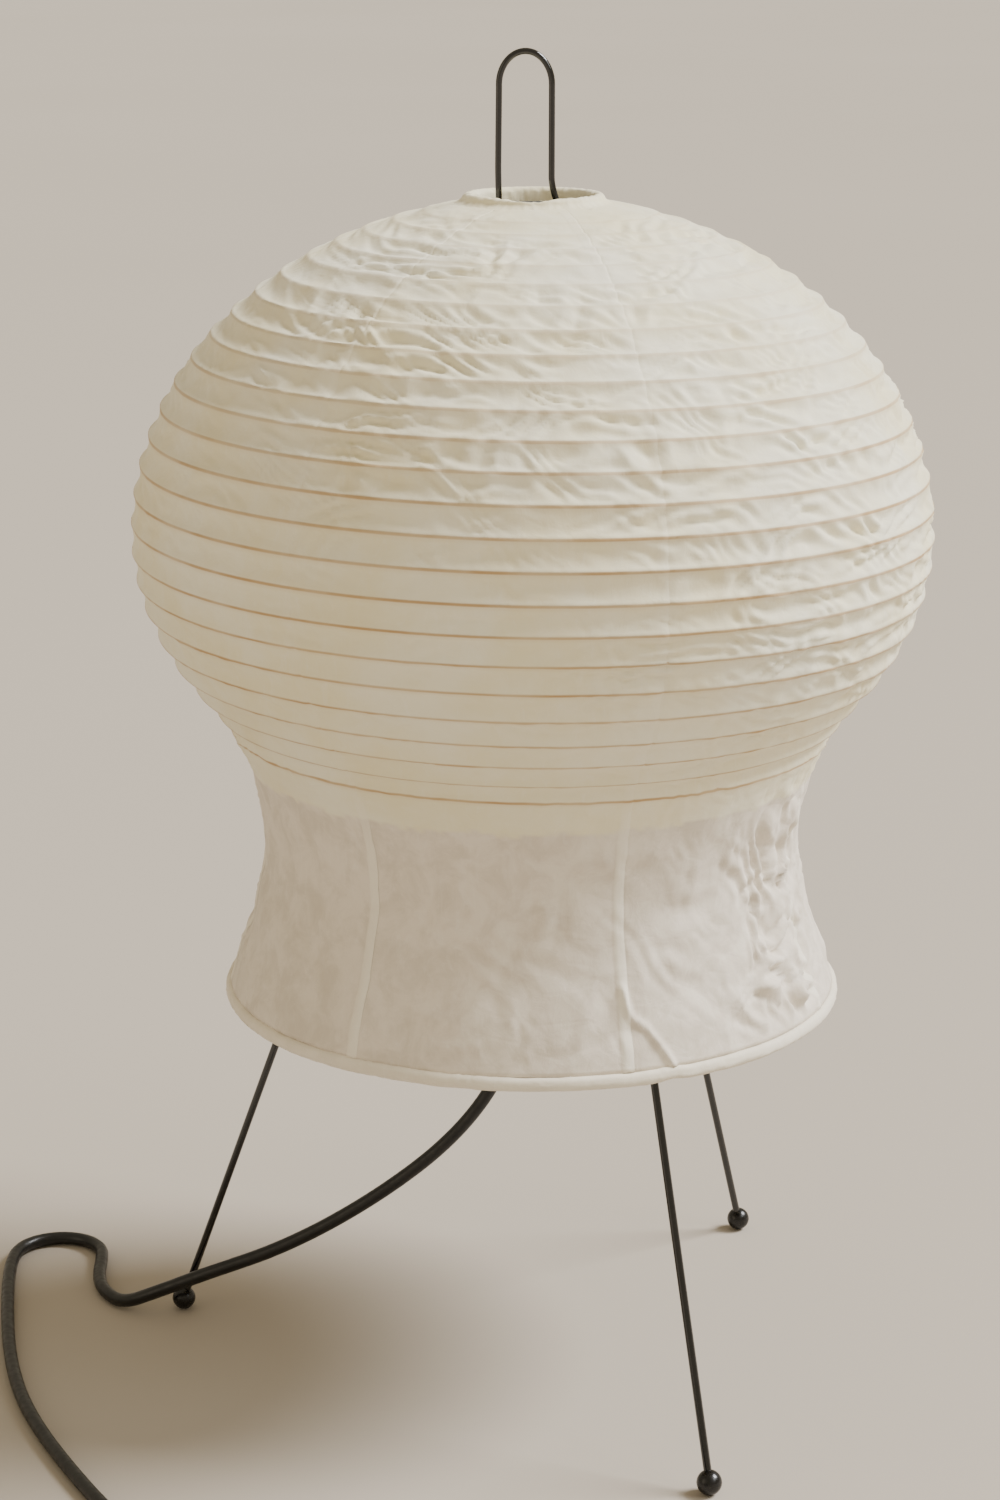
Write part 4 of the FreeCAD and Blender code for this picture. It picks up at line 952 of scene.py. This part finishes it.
def make_grip():
    """The moulded tapered grip under the hub, which holds the cord where it leaves."""
    low, high, wide = heights("cord_grip")
    thin, shoulder = 3.45, high - 10
    outline = [(2.0, low)]
    outline += [(thin + (wide - thin) * share**1.4, low + 0.4 + (shoulder - low) * share)
                for share in np.linspace(0, 1, 60)]
    outline += [(wide, high - 0.8), (wide - 0.5, high), (NIPPLE_HOLE, high)]
    lathe("cord_grip_tapered", outline, "cord_plastic", "frame", "cord_grip",
          shift=ridged(low, shoulder, 6, 0.35))


def make_tie():
    """A flat woven tie in one loop round the coil's turns, with rounded corners."""
    low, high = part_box("coil_tie")
    thick = 0.7
    inside, outside = low.x / MM + thick, high.x / MM - thick
    floor, top = low.z / MM + thick, high.z / MM - thick
    corner = 2.3
    centres = [(inside + corner, floor + corner), (outside - corner, floor + corner),
               (outside - corner, top - corner), (inside + corner, top - corner)]
    loop = []  # x and z round the inside of the tie, and the way out from it
    for k, (x, z) in enumerate(centres):
        for angle in np.radians(np.linspace(180 + 90 * k, 270 + 90 * k, 9)):
            loop.append((x + corner * math.cos(angle), z + corner * math.sin(angle),
                         math.cos(angle), math.sin(angle)))
        after = centres[(k + 1) % 4]
        last = np.array(loop[-1])
        away = np.array((after[0] - x, after[1] - z))
        for share in (0.2, 0.4, 0.6, 0.8):
            step = last.copy()
            step[:2] += away * share
            loop.append(tuple(step))
    loop = np.array(loop)
    half = (high.y - low.y) / 2 / MM
    middle = (low.y + high.y) / 2 / MM
    rows = []
    for across, lift in ((-half, 0.0), (-half, thick * 0.8), (-half * 0.9, thick),
                         (0, thick * 0.92), (half * 0.9, thick), (half, thick * 0.8), (half, 0.0)):
        rows.append(np.stack([loop[:, 0] + loop[:, 2] * lift, np.full(len(loop), middle + across),
                              loop[:, 1] + loop[:, 3] * lift], axis=-1))
    mesh = grid_mesh("coil_tie_woven", np.array(rows) * MM, round_first=True, round_second=True)
    shown(mesh.name, mesh, "tie", "frame", "coil_tie")


make_grip()
make_tie()

# ---------------------------------------------------------------- the CAD's own pieces

node_slots = {part["node"]: part["material_slot"] for part in frame["record"]["subparts"]}
for name, node in frame["nodes"].items():
    if not node.hide_render:
        node.data.materials.clear()
        node.data.materials.append(FINISHES[node_slots[name]])

# ---------------------------------------------------------------- floor and light


def make_floor():
    """A wide pale plane, a hair under the feet."""
    half, level = 16, -0.0002
    mesh = bpy.data.meshes.new("floor")
    mesh.from_pydata([(-half, -half, level), (half, -half, level), (half, half, level),
                      (-half, half, level)], [], [(0, 1, 2, 3)])
    made = Finish("floor", 0.8)
    made.colour(made.blended(made.noise(0.6, 2), (0.46, 0.405, 0.335), (0.49, 0.435, 0.365)))
    mesh.materials.append(made.material)
    floor = bpy.data.objects.new("floor", mesh)
    bpy.context.scene.collection.objects.link(floor)


def make_light(name, place, size, power, colour):
    """A round area light that faces the shade's middle."""
    light = bpy.data.lights.new(name, "AREA")
    light.shape = "DISK"
    light.size = size
    light.energy = power
    light.color = colour
    holder = bpy.data.objects.new(name, light)
    bpy.context.scene.collection.objects.link(holder)
    holder.location = place
    looking = Vector((0, 0, 0.32)) - Vector(place)
    holder.rotation_euler = looking.to_track_quat("-Z", "Y").to_euler()


def make_sun(place, strength, colour, spread):
    """A wide soft light that falls evenly on the lantern and the whole floor."""
    light = bpy.data.lights.new("high_window", "SUN")
    light.energy, light.color, light.angle = strength, colour, math.radians(spread)
    holder = bpy.data.objects.new("high_window", light)
    bpy.context.scene.collection.objects.link(holder)
    holder.rotation_euler = (-Vector(place)).to_track_quat("-Z", "Y").to_euler()


make_floor()
make_sun((0.9, 0.12, 0.95), 5.8, (0.98, 0.98, 1.0), 24)
make_light("window", (1.6, -0.9, 1.5), 0.9, 10, (0.95, 0.98, 1.0))
make_light("room_left", (-1.9, -1.3, 0.9), 1.6, 5, (1.0, 0.86, 0.66))
world = bpy.data.worlds.new("studio")
world.use_nodes = True
world.node_tree.nodes["Background"].inputs["Color"].default_value = (1.0, 0.87, 0.64, 1)
world.node_tree.nodes["Background"].inputs["Strength"].default_value = 0.55
bpy.context.scene.world = world
